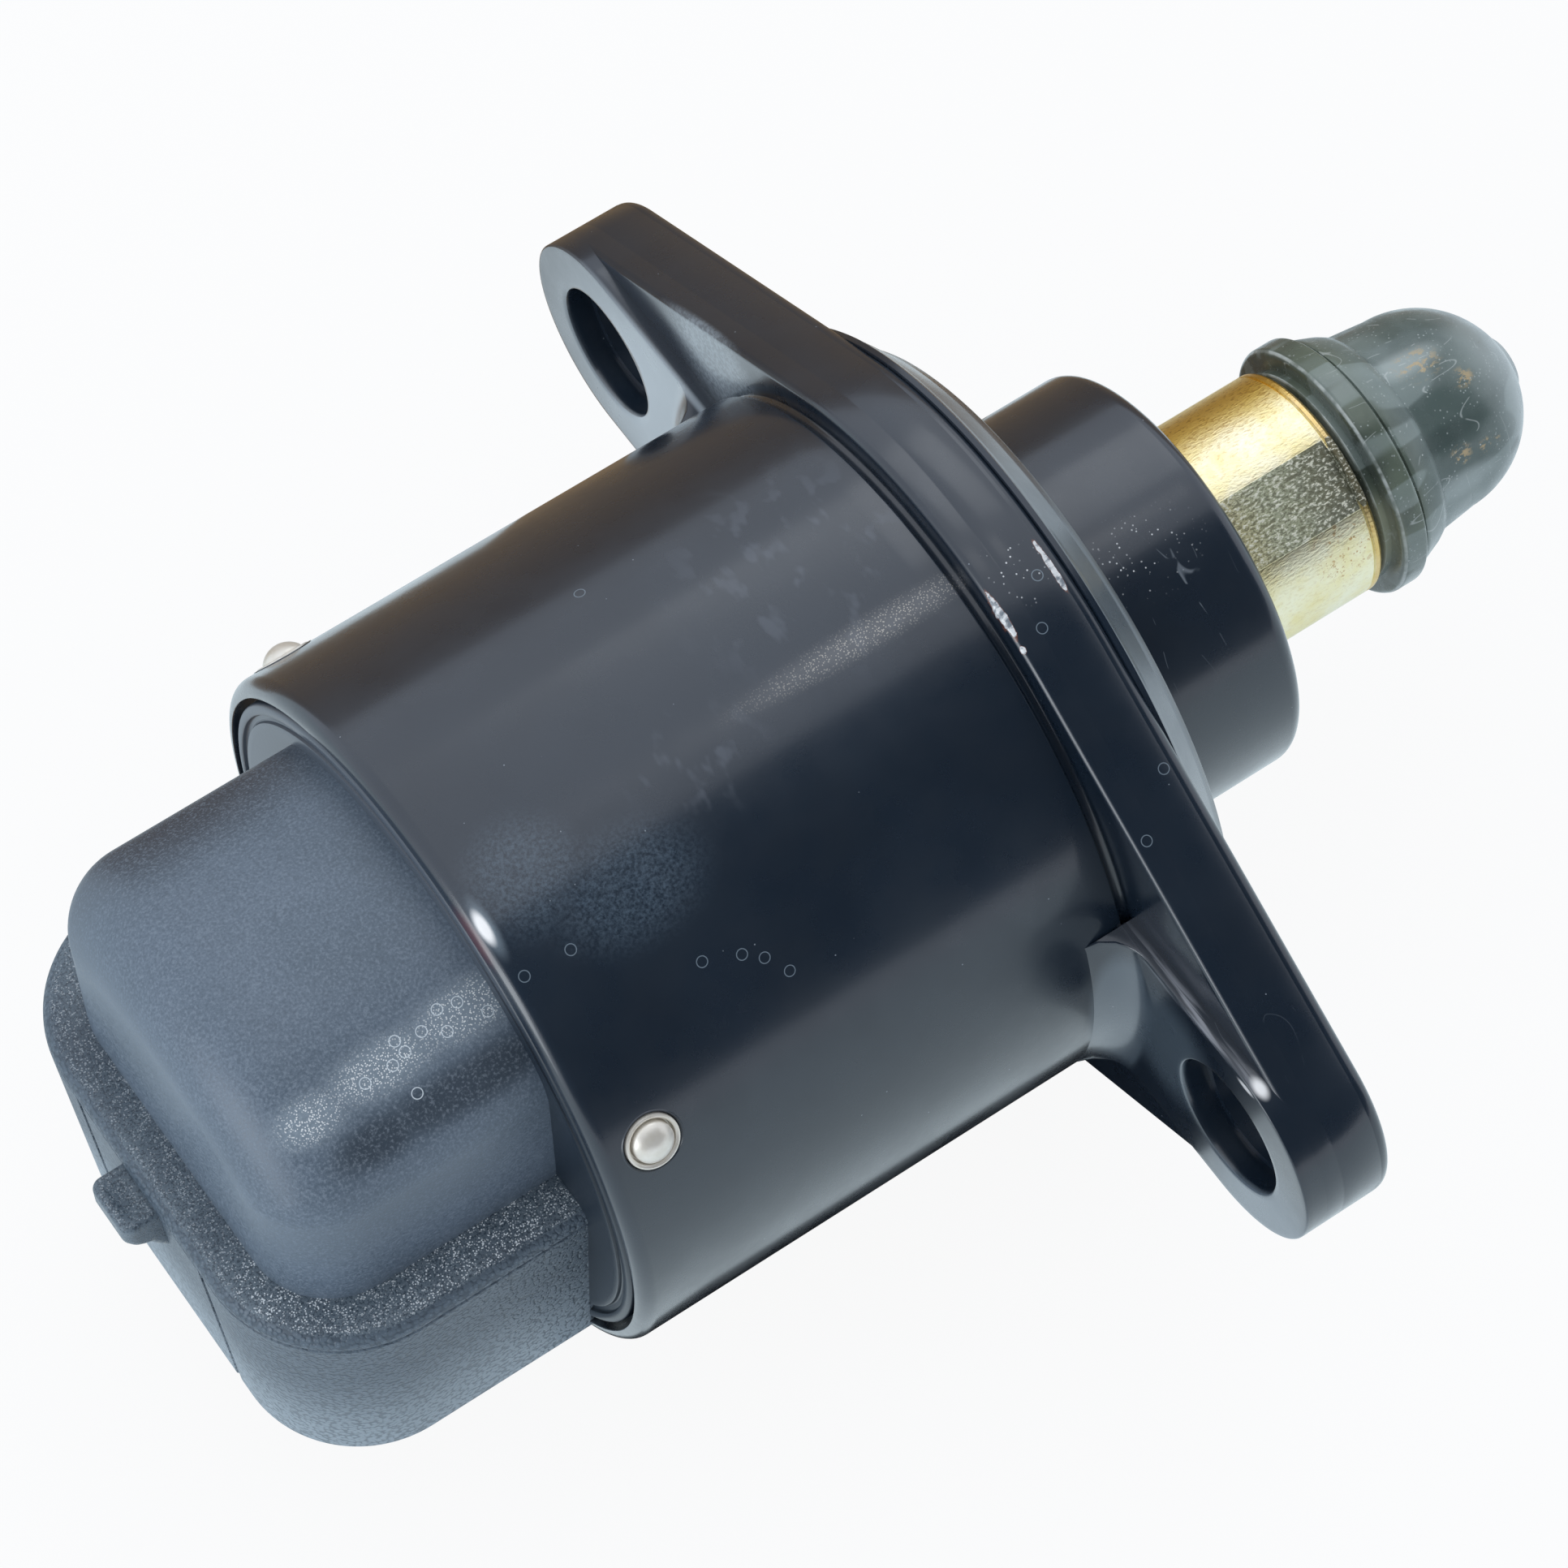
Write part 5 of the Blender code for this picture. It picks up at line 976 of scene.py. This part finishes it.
def add_lamp(name, place, target, size, power, tint=(1.0, 1.0, 1.0)):
    """A soft square lamp at place (mm) that looks at target."""
    light = bpy.data.lights.new(name, "AREA")
    light.shape = "RECTANGLE"
    light.size, light.size_y = size[0] * MM, size[1] * MM
    light.energy, light.color = power, tint
    made = add_object(name, light)
    back = np.array(place, float) - np.array(target, float)
    back /= np.linalg.norm(back)
    side = np.cross((0, 1, 0), back)
    side /= np.linalg.norm(side)
    turn = Matrix(np.column_stack([side, np.cross(back, side), back]).tolist()).to_4x4()
    made.matrix_world = Matrix.Translation([c * MM for c in place]) @ turn
    return made


def build_lamps():
    """A large soft lamp overhead, one to the left, and two that the spigot and the plate's edge mirror."""
    cool = (0.92, 0.96, 1.0)
    overhead = add_lamp("overhead_lamp", (110, 130, 420), (0, 20, 0), (500, 390), 0.44, cool)
    overhead.visible_glossy = False  # it hangs above the white cloth, which is what the lacquer mirrors
    add_lamp("side_lamp", (255, 290, 425), (0, 0, 0), (230, 320), 0.22, cool)
    add_lamp("edge_lamp", (112, 30, 380), (0, 0, 0), (60, 45), 0.0075)
    add_lamp("left_lamp", (-330, -40, 70), (-20, 0, 0), (180, 160), 0.3, (0.9, 0.96, 1.0))


def build_camera():
    """The photo's place, direction and lens, worked out from the round edges and holes."""
    lens = bpy.data.cameras.new("photo_camera")
    lens.lens, lens.sensor_width = 138.047, 36.0
    lens.clip_start, lens.clip_end = 0.01, 10.0
    made = add_object("photo_camera", lens)
    right, up, back = (
        (0.8239275, -0.5665635, -0.0122185),
        (0.5018708, 0.7194948, 0.4800551),
        (-0.2631906, -0.4016627, 0.8771532),
    )
    turn = Matrix((right, up, back)).transposed().to_4x4()
    made.matrix_world = Matrix.Translation((-0.0809481, -0.1052526, 0.2313342)) @ turn
    bpy.context.scene.camera = made


def dress_frame():
    """Gives every CAD node that stays in view its finish."""
    finishes = plain_finishes()
    for row in frame["record"]["subparts"]:
        if row["material_slot"] in finishes:
            mesh = frame["nodes"][row["node"]].data
            mesh.materials.clear()
            mesh.materials.append(finishes[row["material_slot"]])


bpy.context.scene.view_settings.view_transform = "Standard"
build_camera()
build_world()
build_boards()
build_lamps()
dress_frame()
build_housing(coated_casting())
build_cap(fine_moulding(), sparkling_moulding(), leathered_moulding(), rim_moulding())
pin_steel = ground_steel()
for number, angle in enumerate(PIN_ANGLES, 1):
    build_pin(number, angle, pin_steel)
build_sleeve(passivated_tube())
build_pintle(polished_pintle())

sizes = {"at_load": SIZE_AT_LOAD, "before_finish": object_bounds()}
{key: [list(map(float, corner)) for corner in box] for key, box in sizes.items()}
